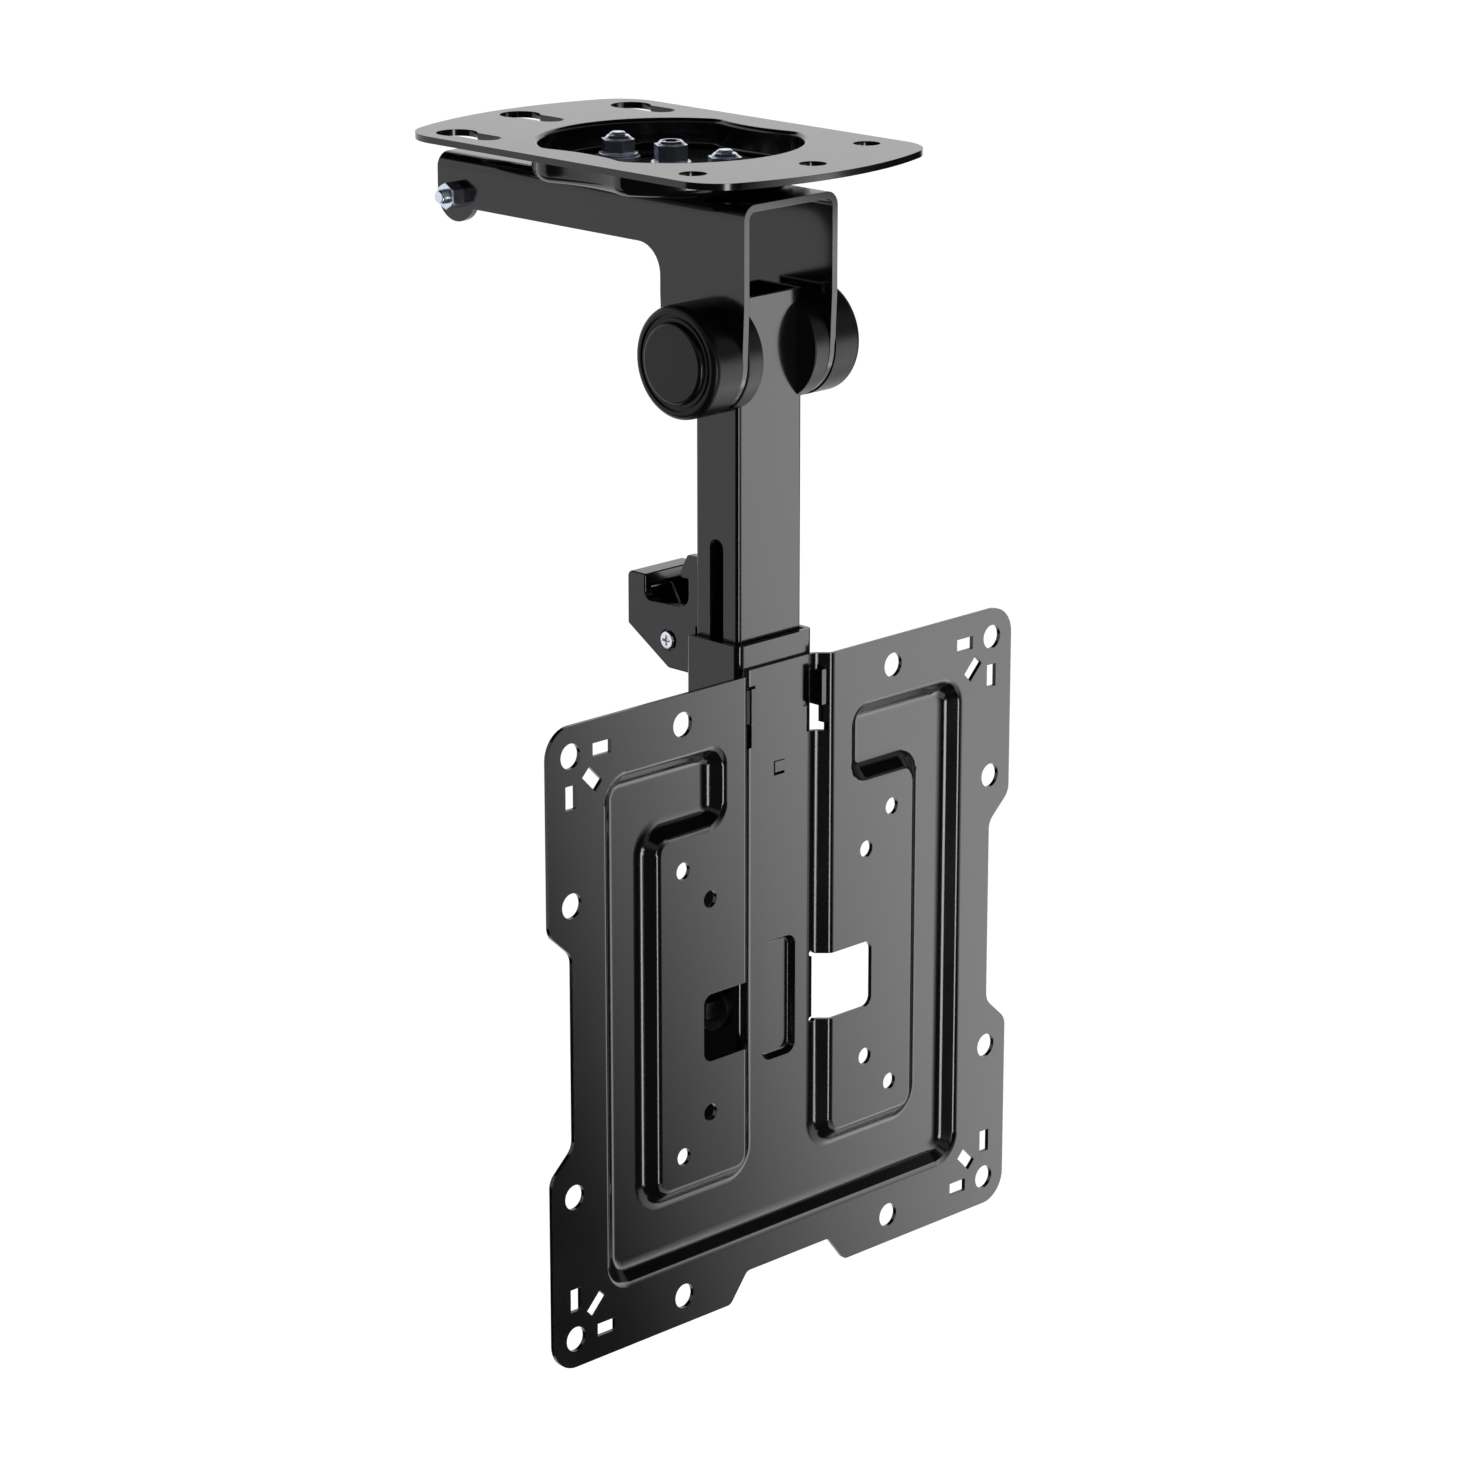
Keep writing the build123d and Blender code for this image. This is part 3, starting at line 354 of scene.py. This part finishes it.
def bright_zinc(name: str, tone: tuple[float, float, float], gloss: float,
                metallic: float = 1.0) -> Finish:
    """Bright zinc plating with a faint blue passivation.

    Args:
        name: Name of the material.
        tone: Colour of the plating.
        gloss: Roughness of its shiniest patches.
        metallic: How bare the metal is; the rest is the haze of the passivation.

    Returns:
        The finish.
    """
    pale = tuple(min(1.0, c * 1.12) for c in tone)
    return Finish(name, tone, pale, gloss, gloss + 0.08, metallic=metallic, patch_size=260.0,
                  grain_size=5200.0, grain_depth=0.000004, edge_radius=0.0002)


FINISHES = {
    "ceiling_plate_paint": powder_coat("ceiling_plate_coat"),
    "bracket_paint": powder_coat("bracket_coat"),
    "tube_paint": powder_coat("tube_coat"),
    "sleeve_paint": powder_coat("sleeve_coat"),
    "screen_plate_paint": powder_coat("screen_plate_coat"),
    "latch_paint": powder_coat("latch_coat"),
    "zinc_hardware": bright_zinc("zinc_plating", (0.60, 0.65, 0.76), 0.15, 0.94),
    "latch_screw_zinc": bright_zinc("screw_plating", (0.74, 0.76, 0.80), 0.2),
    "spring_steel": bright_zinc("spring_wire", (0.34, 0.34, 0.36), 0.26),
    "cover_plastic": moulded_plastic("cover_moulding", 0.30, 1.3),
    "cap_plastic": moulded_plastic("cap_moulding", 0.24, 1.35),
    "hub_plastic": moulded_plastic("hub_moulding", 0.34, 1.38),
    "plug_plastic": moulded_plastic("plug_moulding", 0.42),
    "glide_plastic": Finish("glide_strip", (0.62, 0.62, 0.59), (0.7, 0.7, 0.67), 0.35, 0.45,
                            grain_size=2500.0),
    "friction_disc": Finish("friction_fibre", (0.045, 0.043, 0.04), (0.08, 0.075, 0.07), 0.7, 0.85,
                            patch_size=900.0, grain_size=2600.0, grain_depth=0.00003, grain_strength=0.6),
}
MATERIALS = {slot: finish.material() for slot, finish in FINISHES.items()}
# Painted shade: a dark metal finish that the clamp hardware wears in place of the bright zinc of its slot,
# standing in for the shade it sits in behind the screen plate's window.
PAINTED_SHADE_FINISH = Finish("painted_shade_hardware", (0.035, 0.036, 0.04), (0.05, 0.051, 0.056), 0.26, 0.34,
                   metallic=1.0, patch_size=260.0, grain_size=5200.0, edge_radius=0.00012).material()


def finish_piece(mesh: bmesh.types.BMesh, name: str, body: str, slot: str,
                 smooth_deg: float = 35.0) -> bpy.types.Object:
    """Turn a bmesh into a piece that rides on a body and has its finish.

    Args:
        mesh: The geometry, in place, in metres; it is freed.
        name: Name of the piece.
        body: Body that it rides on.
        slot: Material slot that it takes its finish from.
        smooth_deg: Edges sharper than this stay sharp.

    Returns:
        The new object.
    """
    bmesh.ops.recalc_face_normals(mesh, faces=mesh.faces)
    for face in mesh.faces:
        face.smooth = True
    limit = math.radians(smooth_deg)
    for edge in mesh.edges:
        edge.smooth = len(edge.link_faces) == 2 and edge.calc_face_angle(0.0) < limit
    data = bpy.data.meshes.new(name)
    mesh.to_mesh(data)
    mesh.free()
    piece = bpy.data.objects.new(name, data)
    bpy.context.scene.collection.objects.link(piece)
    piece.data.materials.append(MATERIALS[slot])
    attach(piece, body)
    LOG.info("%s: %d faces on %s", name, len(data.polygons), body)
    return piece


@dataclass(frozen=True)
class ThreadedPin:
    """A headed pin with a rolled thread at its tip, sizes in metres."""

    shank_d: float
    pitch: float
    head_d: float
    head_h: float
    head_round: float = 0.0
    tip_chamfer: float = 0.0006
    steps: int = 40
    dome_steps: int = 8
    depth_ratio: float = 0.54
    sunk_ratio: float = 0.05
    foot_ratio: float = 0.46
    crest_ratio: float = 0.07
    tip_play: float = 0.00002

    @property
    def root_r(self) -> float:
        """Radius at the bottom of the thread."""
        return self.shank_d / 2.0 - self.depth_ratio * self.pitch

    def head_profile(self) -> list[tuple[float, float]]:
        """Points from the axis over the head to the shank, head below z = 0.

        Returns:
            Radius and height of each point.
        """
        points = [(0.0, -self.head_h)]
        radius = self.head_round
        if radius > 0.0:
            for k in range(self.dome_steps + 1):
                turn = math.radians(90.0 * k / self.dome_steps)
                points.append((self.head_d / 2.0 - radius + radius * math.sin(turn),
                               -self.head_h + radius - radius * math.cos(turn)))
        else:
            points.append((self.head_d / 2.0, -self.head_h))
        points.append((self.head_d / 2.0, 0.0))
        points.append((self.shank_d / 2.0, 0.0))
        return points

    def add(self, mesh: bmesh.types.BMesh, length: float, thread: float, place: Matrix) -> None:
        """Add one pin to a mesh.

        Args:
            mesh: The mesh that gets the pin.
            length: Shank length under the head.
            thread: Length of the thread, measured from the tip.
            place: Matrix that puts the pin's under-head point and +Z direction in place.
        """
        start = length - thread
        shank_r = self.shank_d / 2.0
        depth = shank_r - self.root_r
        profile = self.head_profile()
        bevel = self.tip_chamfer / 2.0
        profile += [(shank_r, start), (self.root_r, start + depth), (self.root_r, length - bevel)]
        profile += [(self.root_r - bevel, length), (0.0, length)]
        part = bmesh.new()
        verts = [part.verts.new((r, 0.0, z)) for r, z in profile]
        edges = [part.edges.new(pair) for pair in zip(verts, verts[1:])]
        bmesh.ops.spin(part, geom=verts + edges, cent=(0, 0, 0), axis=(0, 0, 1), dvec=(0, 0, 0),
                       angle=2.0 * math.pi, steps=self.steps, use_merge=True, use_duplicate=False)
        bmesh.ops.remove_doubles(part, verts=part.verts, dist=1e-7)
        bmesh.ops.recalc_face_normals(part, faces=part.faces)
        self.add_thread(part, start, length)
        bmesh.ops.transform(part, matrix=place, verts=part.verts)
        join(mesh, part)

    def add_thread(self, mesh: bmesh.types.BMesh, start: float, length: float) -> None:
        """Wind the thread's ridge round the shank, chamfered at the tip.

        Args:
            mesh: The mesh that gets the ridge.
            start: Height where the thread starts.
            length: Height of the tip.
        """
        part = bmesh.new()
        sunk = self.root_r - self.sunk_ratio * self.pitch
        crest = self.shank_d / 2.0
        low = start + 0.5 * self.pitch
        half = self.foot_ratio * self.pitch
        flat = self.crest_ratio * self.pitch
        shape = [(sunk, -half), (crest, -flat), (crest, flat), (sunk, half)]
        first = part.faces.new([part.verts.new((r, 0.0, low + z)) for r, z in shape])
        turns = max(1.0, (length - low - 0.5 * self.pitch) / self.pitch)
        steps = int(turns * self.steps)
        bmesh.ops.spin(part, geom=[first], cent=(0, 0, 0), axis=(0, 0, 1),
                       dvec=(0, 0, turns * self.pitch / steps), angle=2.0 * math.pi * turns,
                       steps=steps, use_merge=False, use_duplicate=False)
        for vert in part.verts:
            radius = math.hypot(vert.co.x, vert.co.y)
            allowed = crest - max(0.0, vert.co.z - (length - self.tip_chamfer))
            vert.co.z = min(vert.co.z, length - self.tip_play)
            if radius > allowed:
                vert.co.x *= allowed / radius
                vert.co.y *= allowed / radius
        bmesh.ops.recalc_face_normals(part, faces=part.faces)
        join(mesh, part)


def join(target: bmesh.types.BMesh, part: bmesh.types.BMesh) -> None:
    """Add a part's faces to a target mesh and free the part.

    Args:
        target: The mesh that grows.
        part: The mesh that is added and freed.
    """
    data = bpy.data.meshes.new("part")
    part.to_mesh(data)
    part.free()
    target.from_mesh(data)
    bpy.data.meshes.remove(data)


def pin_place(head: Vector, axis: Axis) -> Matrix:
    """Return the matrix that puts a pin's under-head point at head and turns its +Z along an axis."""
    turn = Vector(axis.value).to_track_quat("Z", "Y").to_matrix().to_4x4()
    return Matrix.Translation(head) @ turn


@dataclass
class Assembly:
    """A named group of nodes that are dressed together."""

    name: str
    nodes: tuple[str, ...]
    # Nodes that wear the dark painted-shade finish in place of their slot's.
    painted_shade_nodes: tuple[str, ...] = ()

    def dress(self) -> None:
        """Give each node the finish of its material slot, or the dark finish that paints in shade."""
        slots = {part["node"]: part["material_slot"] for part in frame["record"]["subparts"]}
        for node in self.nodes:
            piece = frame["nodes"][node]
            piece.data.materials.clear()
            # Painted shade: the listed nodes get the dark finish instead of their slot's.
            dark = node in self.painted_shade_nodes
            piece.data.materials.append(PAINTED_SHADE_FINISH if dark else MATERIALS[slots[node]])
            LOG.info("%s: %s wears %s", self.name, node, slots[node])

    def build(self) -> None:
        """Model the pieces that the solids leave to this script; none here."""


@dataclass
class SwivelHead(Assembly):
    """Ceiling plate and the three studs that clamp the bracket under it."""

    name: str = "swivel head"
    nodes: tuple[str, ...] = ("ceiling_plate", "friction_disc", "swivel_stud", "guide_studs", "swivel_nut",
                              "guide_nuts", "stud_washers")
    stud: ThreadedPin = ThreadedPin(shank_d=6.0 * MM, pitch=1.0 * MM, head_d=9.0 * MM, head_h=1.0 * MM)
    thread: float = 10.0 * MM

    def build(self) -> None:
        """Model the threaded studs over their plain solids."""
        for node in ("swivel_stud", "guide_studs"):
            low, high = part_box(node)
            margin = self.stud.head_d / 2.0
            rows = sorted({round(low.y + margin, 6), round(high.y - margin, 6)})
            mesh = bmesh.new()
            under = low.z + self.stud.head_h
            for y in rows:
                place = pin_place(Vector((0.0, y, under)), Axis.UP)
                self.stud.add(mesh, high.z - under, self.thread, place)
            piece = finish_piece(mesh, node + "_threaded", "bracket", "zinc_hardware")
            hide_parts(node)


@dataclass
class ArmBracket(Assembly):
    """Bent bracket with its striker bolt at the rear end."""

    name: str = "arm bracket"
    nodes: tuple[str, ...] = ("arm_bracket", "striker_bolt", "striker_nut")
    bolt: ThreadedPin = ThreadedPin(shank_d=5.0 * MM, pitch=0.8 * MM, head_d=9.2 * MM, head_h=2.6 * MM,
                                    head_round=2.08 * MM, tip_chamfer=0.5 * MM)
    thread: float = 8.5 * MM

    def build(self) -> None:
        """Model the striker bolt with its rolled thread."""
        low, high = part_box("striker_bolt")
        head = Vector((high.x - self.bolt.head_h, (low.y + high.y) / 2.0, (low.z + high.z) / 2.0))
        mesh = bmesh.new()
        self.bolt.add(mesh, head.x - low.x, self.thread, pin_place(head, Axis.LEFT))
        piece = finish_piece(mesh, "striker_bolt_threaded", "bracket", "zinc_hardware")
        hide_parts("striker_bolt")


@dataclass
class FoldPivot(Assembly):
    """Axle, friction hubs, covers and caps of the fold."""

    name: str = "fold pivot"
    nodes: tuple[str, ...] = ("pivot_bolt", "pivot_nut", "pivot_washers", "pivot_spacer", "pivot_hub_left",
                              "pivot_hub_right", "pivot_cover_left", "pivot_cover_right", "pivot_cap_left",
                              "pivot_cap_right")


@dataclass
class SlidingArm(Assembly):
    """Inner tube, outer sleeve and the clamp bolts between them."""

    name: str = "sliding arm"
    nodes: tuple[str, ...] = ("inner_tube", "tube_end_plug", "outer_sleeve", "glide_strips", "clamp_bolts",
                              "clamp_washers", "clamp_nuts")
    # Painted shade: the clamp hardware behind the screen plate's window wears the dark finish.
    painted_shade_nodes: tuple[str, ...] = ("clamp_bolts", "clamp_washers", "clamp_nuts")
    bolt: ThreadedPin = ThreadedPin(shank_d=5.9 * MM, pitch=1.0 * MM, head_d=13.0 * MM, head_h=3.3 * MM,
                                    head_round=2.64 * MM)
    thread: float = 11.0 * MM

    def build(self) -> None:
        """Model both clamp bolts with their rolled threads."""
        low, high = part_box("clamp_bolts")
        head_x = high.x - self.bolt.head_h
        margin = self.bolt.head_d / 2.0
        mesh = bmesh.new()
        for z in (low.z + margin, high.z - margin):
            head = Vector((head_x, (low.y + high.y) / 2.0, z))
            self.bolt.add(mesh, head_x - low.x, self.thread, pin_place(head, Axis.LEFT))
        piece = finish_piece(mesh, "clamp_bolts_threaded", "carriage", "zinc_hardware")
        # Painted shade: the threaded clamp bolts wear the same dark finish.
        piece.data.materials[0] = PAINTED_SHADE_FINISH
        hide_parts("clamp_bolts")


@dataclass
class ScreenPlate(Assembly):
    """Stamped screen plate."""

    name: str = "screen plate"
    nodes: tuple[str, ...] = ("vesa_plate",)


@dataclass
class LatchLever(Assembly):
    """Latch lever on the back of the sleeve, with its hinge bracket welded on."""

    name: str = "latch lever"
    nodes: tuple[str, ...] = ("latch_bracket", "latch_lever", "latch_screw", "latch_nut", "latch_spring")
    bead_r: float = 1.1 * MM
    bead_step: float = 0.9 * MM
    bead_inset: float = 1.5 * MM
    bead_segments: int = 14
    bead_rings: int = 8
    bead_squash: float = 0.72
    ripple: float = 0.08
    ripple_turn: float = 2.3

    def build(self) -> None:
        """Lay a rippled weld bead in one row along the hinge bracket's base."""
        low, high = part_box("latch_bracket")
        mesh = bmesh.new()
        count = int((high.x - low.x - 2.0 * self.bead_inset) / self.bead_step)
        start = -(count - 1) * self.bead_step / 2.0
        for k in range(count):
            centre = Vector((start + k * self.bead_step, low.y, low.z))
            part = bmesh.new()
            bmesh.ops.create_uvsphere(part, u_segments=self.bead_segments, v_segments=self.bead_rings,
                                      radius=self.bead_r)
            swell = 1.0 + self.ripple * math.sin(self.ripple_turn * k)
            bmesh.ops.scale(part, vec=(self.bead_squash, 1.0, swell), verts=part.verts)
            bmesh.ops.translate(part, vec=centre, verts=part.verts)
            join(mesh, part)
        finish_piece(mesh, "latch_bracket_weld", "carriage", "sleeve_paint")


def stage_item(mesh: bmesh.types.BMesh, name: str) -> bpy.types.Object:
    """Turn a bmesh into a part of the stage, which isn't part of the object.

    Args:
        mesh: The geometry; it is freed.
        name: Name of the new object.

    Returns:
        The new object.
    """
    data = bpy.data.meshes.new(name)
    mesh.to_mesh(data)
    mesh.free()
    item = bpy.data.objects.new(name, data)
    bpy.context.scene.collection.objects.link(item)
    return item


def mirror_only(item: bpy.types.Object) -> None:
    """Let an item show in reflections alone.

    Args:
        item: The object.
    """
    item.visible_camera = False
    item.visible_diffuse = False
    item.visible_transmission = False
    item.visible_shadow = False


def seen_white(tree: bpy.types.NodeTree) -> bpy.types.NodeSocket:
    """Add a mask that is 1 for what the eye, gloss or glass sees, and 0 for light that falls on things.

    Args:
        tree: The node tree that gets the nodes.

    Returns:
        The socket with the mask.
    """
    path = tree.nodes.new("ShaderNodeLightPath")
    gloss = calculate(tree, "ADD", path.outputs["Is Camera Ray"], path.outputs["Is Glossy Ray"])
    every = calculate(tree, "ADD", gloss, path.outputs["Is Transmission Ray"])
    every.node.use_clamp = True
    return every


@dataclass(frozen=True)
class AreaLamp:
    """A soft rectangular lamp that faces the object, with sizes in metres.

    Its turn is 0 in front of the screen plate and positive to the right, and a level of 1 is white.
    """

    name: str
    turn_deg: float
    middle_z: float
    distance: float
    width: float
    height: float
    level: float
    mirrored: bool = True

    def build(self) -> None:
        """Hang the lamp, unseen by the camera."""
        data = bpy.data.lights.new(self.name, "AREA")
        data.shape = "RECTANGLE"
        data.size = self.width
        data.size_y = self.height
        data.energy = self.level * math.pi * self.width * self.height
        turn = math.radians(self.turn_deg)
        spot = Vector((self.distance * math.sin(turn), -self.distance * math.cos(turn), self.middle_z))
        look = Vector((-spot.x, -spot.y, 0.0)).to_track_quat("-Z", "Y").to_matrix().to_4x4()
        item = bpy.data.objects.new(self.name, data)
        item.matrix_world = Matrix.Translation(spot) @ look
        item.visible_camera = False
        item.visible_glossy = self.mirrored
        bpy.context.scene.collection.objects.link(item)


@dataclass(frozen=True)
class SoftPanel:
    """A glowing upright panel with soft edges, seen only in reflections.

    It has its left foot at foot and is turned about Z. Its glow rises between the two distances of rise
    from its left edge, which leans by lean for each metre up, and fades between those of fade.
    """

    name: str
    foot: tuple[float, float, float]
    turn_deg: float
    width: float
    left_height: float
    right_height: float
    level: float
    rise: tuple[float, float]
    fade: tuple[float, float]
    lean: float = 0.0

    def build(self) -> None:
        """Hang the panel."""
        mesh = bmesh.new()
        corners = [(0.0, 0.0), (self.width, 0.0), (self.width, self.right_height), (0.0, self.left_height)]
        mesh.faces.new([mesh.verts.new((x, y, 0.0)) for x, y in corners])
        item = stage_item(mesh, self.name)
        turn = Matrix.Rotation(math.radians(self.turn_deg), 4, "Z")
        upright = Matrix.Rotation(math.radians(90.0), 4, "X")
        item.matrix_world = Matrix.Translation(self.foot) @ turn @ upright
        item.data.materials.append(self.material())
        mirror_only(item)

    def material(self) -> bpy.types.Material:
        """Build the glow, which hides nothing behind it.

        Returns:
            The material.
        """
        made = bpy.data.materials.new(self.name)
        made.use_nodes = True
        tree = made.node_tree
        tree.nodes.clear()
        split = split_place(tree)
        across = calculate(tree, "MULTIPLY_ADD", split.outputs["Y"], self.lean, split.outputs["X"])
        rise = map_range(tree, across, 0.0, self.level, *self.rise, smooth=True)
        fade = map_range(tree, split.outputs["X"], 1.0, 0.0, *self.fade, smooth=True)
        shine = tree.nodes.new("ShaderNodeEmission")
        strength = calculate(tree, "MULTIPLY", rise.outputs["Result"], fade.outputs["Result"])
        tree.links.new(strength, shine.inputs["Strength"])
        clear = tree.nodes.new("ShaderNodeBsdfTransparent")
        total = tree.nodes.new("ShaderNodeAddShader")
        tree.links.new(shine.outputs[0], total.inputs[0])
        tree.links.new(clear.outputs[0], total.inputs[1])
        out = tree.nodes.new("ShaderNodeOutputMaterial")
        tree.links.new(total.outputs[0], out.inputs["Surface"])
        return made


PANELS = (
    SoftPanel("front_panel", foot=(0.0, -0.355, -0.94), turn_deg=0.0, width=0.75, left_height=0.95,
              right_height=0.71, level=3.65, rise=(0.375, 0.70), fade=(0.58, 0.70), lean=0.5),
    SoftPanel("rear_panel", foot=(0.99, 2.01, -0.4), turn_deg=-47.0, width=1.6, left_height=2.0,
              right_height=2.0, level=0.06, rise=(0.1, 0.3), fade=(1.3, 1.5)),
)
LAMPS = (
    AreaLamp("right_panel", turn_deg=56.5, middle_z=-0.12, distance=1.9, width=0.80, height=1.80, level=4.0,
             mirrored=False),
    AreaLamp("key_strip", turn_deg=-27.0, middle_z=-0.65, distance=1.9, width=0.34, height=1.1, level=11.0),
)


@dataclass(frozen=True)
class DarkCloths:
    """Dark cloths round the front, overhead, underneath and low on the left, seen only in reflections,
    whose walls give off a faint glow.
    """

    foot_z: float
    radius: float = 2.2
    top: float = 1.35
    left_deg: float = 118.0
    right_deg: float = 100.0
    under_r: float = 0.75
    under_lift: float = 0.02
    apron_lift: float = 0.01
    apron_right_deg: float = -15.0
    side_x: float = -0.35
    side_near: float = 0.05
    side_far: float = 0.9
    side_foot: float = -1.2
    side_top: float = -0.37
    reflected_glow: tuple[float, float] = (0.02, 0.4)
    reflected_glow_z: tuple[float, float] = (0.1, 0.7)
    reflected_glow_stop: float = 0.05

    def sweep(self, mesh: bmesh.types.BMesh, start: Vector, end: Vector, turn_deg: float,
              steps: int) -> None:
        """Turn the line from start to end about the swivel axis.

        Args:
            mesh: The mesh that gets the surface.
            start: One end of the line.
            end: The other end.
            turn_deg: How far it turns.
            steps: Number of faces.
        """
        tips = [mesh.verts.new(start), mesh.verts.new(end)]
        line = mesh.edges.new(tips)
        bmesh.ops.spin(mesh, geom=[*tips, line], cent=(0, 0, 0), axis=(0, 0, 1), dvec=(0, 0, 0),
                       angle=math.radians(turn_deg), steps=steps, use_duplicate=False)

    def disc(self, mesh: bmesh.types.BMesh, radius: float, height: float, segments: int) -> None:
        """Lay a level disc about the swivel axis.

        Args:
            mesh: The mesh that gets the disc.
            radius: Its radius.
            height: Its height.
            segments: Number of its corners.
        """
        made = bmesh.ops.create_circle(mesh, cap_ends=True, radius=radius, segments=segments)
        bmesh.ops.translate(mesh, vec=(0.0, 0.0, height), verts=made["verts"])

    def build(self) -> None:
        """Hang the cloths."""
        mesh = bmesh.new()
        out = Matrix.Rotation(math.radians(-self.left_deg), 4, "Z") @ Vector((0.0, -1.0, 0.0))
        rim = out * self.radius
        self.sweep(mesh, Vector((rim.x, rim.y, self.foot_z)), Vector((rim.x, rim.y, self.top)),
                   self.left_deg + self.right_deg, steps=48)
        self.disc(mesh, self.radius, self.top, segments=64)
        self.disc(mesh, self.under_r, self.foot_z + self.under_lift, segments=48)
        inner = out * (self.under_r / 2.0)
        low = self.foot_z + self.apron_lift
        self.sweep(mesh, Vector((inner.x, inner.y, low)), Vector((rim.x, rim.y, low)),
                   self.left_deg + self.apron_right_deg, steps=24)
        side = [(self.side_near, self.side_foot), (self.side_far, self.side_foot),
                (self.side_far, self.side_top), (self.side_near, self.side_top)]
        mesh.faces.new([mesh.verts.new((self.side_x, y, z)) for y, z in side])
        item = stage_item(mesh, "black_cloth")
        item.data.materials.append(self.material())
        mirror_only(item)

    def material(self) -> bpy.types.Material:
        """Build the cloth: near black, with a faint glow, seen only in reflections, that rises up the walls
        but not to the roof.

        Returns:
            The material.
        """
        made = bpy.data.materials.new("black_cloth")
        made.use_nodes = True
        tree = made.node_tree
        height = split_place(tree).outputs["Z"]
        # Emitted glow on the cloth's walls, seen only in reflections, stronger higher up.
        reflected_glow = map_range(tree, height, *self.reflected_glow, *self.reflected_glow_z, smooth=True)
        walls = calculate(tree, "LESS_THAN", height, self.top - self.reflected_glow_stop)
        glow = calculate(tree, "MULTIPLY", reflected_glow.outputs["Result"], walls)
        surface = tree.nodes["Principled BSDF"]
        tree.links.new(glow, surface.inputs["Emission Strength"])
        surface.inputs["Emission Color"].default_value = WHITE
        surface.inputs["Base Color"].default_value = BLACK
        surface.inputs["Specular IOR Level"].default_value = 0.0
        surface.inputs["Roughness"].default_value = 1.0
        return made


@dataclass
class Studio:
    """Camera, pale floor, soft lights and the dark cloths that shape the reflections."""

    place: Vector = field(default_factory=lambda: Vector((-1.0911, -1.1104, 0.2621)))
    aim: Vector = field(default_factory=lambda: Vector((0.6806, 0.6742, -0.2867)))
    lens: float = 116.99
    sensor: float = 36.0
    far_clip: float = 100.0
    floor_z: float = -1.5
    floor_size: float = 40.0
    floor_tone: float = 0.9
    floor_roughness: float = 0.9
    floor_glow: float = 0.7
    sky_level: float = 0.35

    def camera(self) -> None:
        """Set the camera at the reference view."""
        data = bpy.data.cameras.new("camera")
        data.lens = self.lens
        data.sensor_width = self.sensor
        data.clip_end = self.far_clip
        item = bpy.data.objects.new("camera", data)
        turn = self.aim.normalized().to_track_quat("-Z", "Y").to_matrix().to_4x4()
        item.matrix_world = Matrix.Translation(self.place) @ turn
        bpy.context.scene.collection.objects.link(item)
        bpy.context.scene.camera = item

    def world(self) -> None:
        """Make the surroundings white to the eye and in reflections, and a plain soft light on things."""
        world = bpy.data.worlds.new("studio")
        bpy.context.scene.world = world
        world.use_nodes = True
        tree = world.node_tree
        back = tree.nodes["Background"]
        back.inputs["Color"].default_value = WHITE
        strength = map_range(tree, seen_white(tree), self.sky_level, 1.0)
        tree.links.new(strength.outputs["Result"], back.inputs["Strength"])

    def floor(self) -> None:
        """Lay a pale floor that keeps the object's soft shadow."""
        mesh = bmesh.new()
        bmesh.ops.create_grid(mesh, x_segments=1, y_segments=1, size=self.floor_size / 2.0)
        bmesh.ops.translate(mesh, vec=(0.0, 0.0, self.floor_z), verts=mesh.verts)
        item = stage_item(mesh, "floor")
        paint = bpy.data.materials.new("floor_paper")
        paint.use_nodes = True
        tree = paint.node_tree
        surface = tree.nodes["Principled BSDF"]
        tone = self.floor_tone
        surface.inputs["Base Color"].default_value = (tone, tone, tone, 1.0)
        surface.inputs["Roughness"].default_value = self.floor_roughness
        surface.inputs["Emission Color"].default_value = WHITE
        shine = map_range(tree, seen_white(tree), 0.0, self.floor_glow)
        tree.links.new(shine.outputs["Result"], surface.inputs["Emission Strength"])
        item.data.materials.append(paint)

    def build(self) -> None:
        """Set the whole studio up."""
        self.camera()
        self.world()
        self.floor()
        DarkCloths(self.floor_z).build()
        for light in (*PANELS, *LAMPS):
            light.build()
        bpy.context.scene.view_settings.view_transform = "Standard"


def main() -> None:
    """Build every sub-assembly in order, dress it and set the studio."""
    logging.basicConfig(level=logging.INFO, format="%(message)s")
    for assembly in (SwivelHead(), ArmBracket(), FoldPivot(), SlidingArm(), ScreenPlate(), LatchLever()):
        assembly.dress()
        assembly.build()
    Studio().build()


if __name__ == "__main__":
    main()
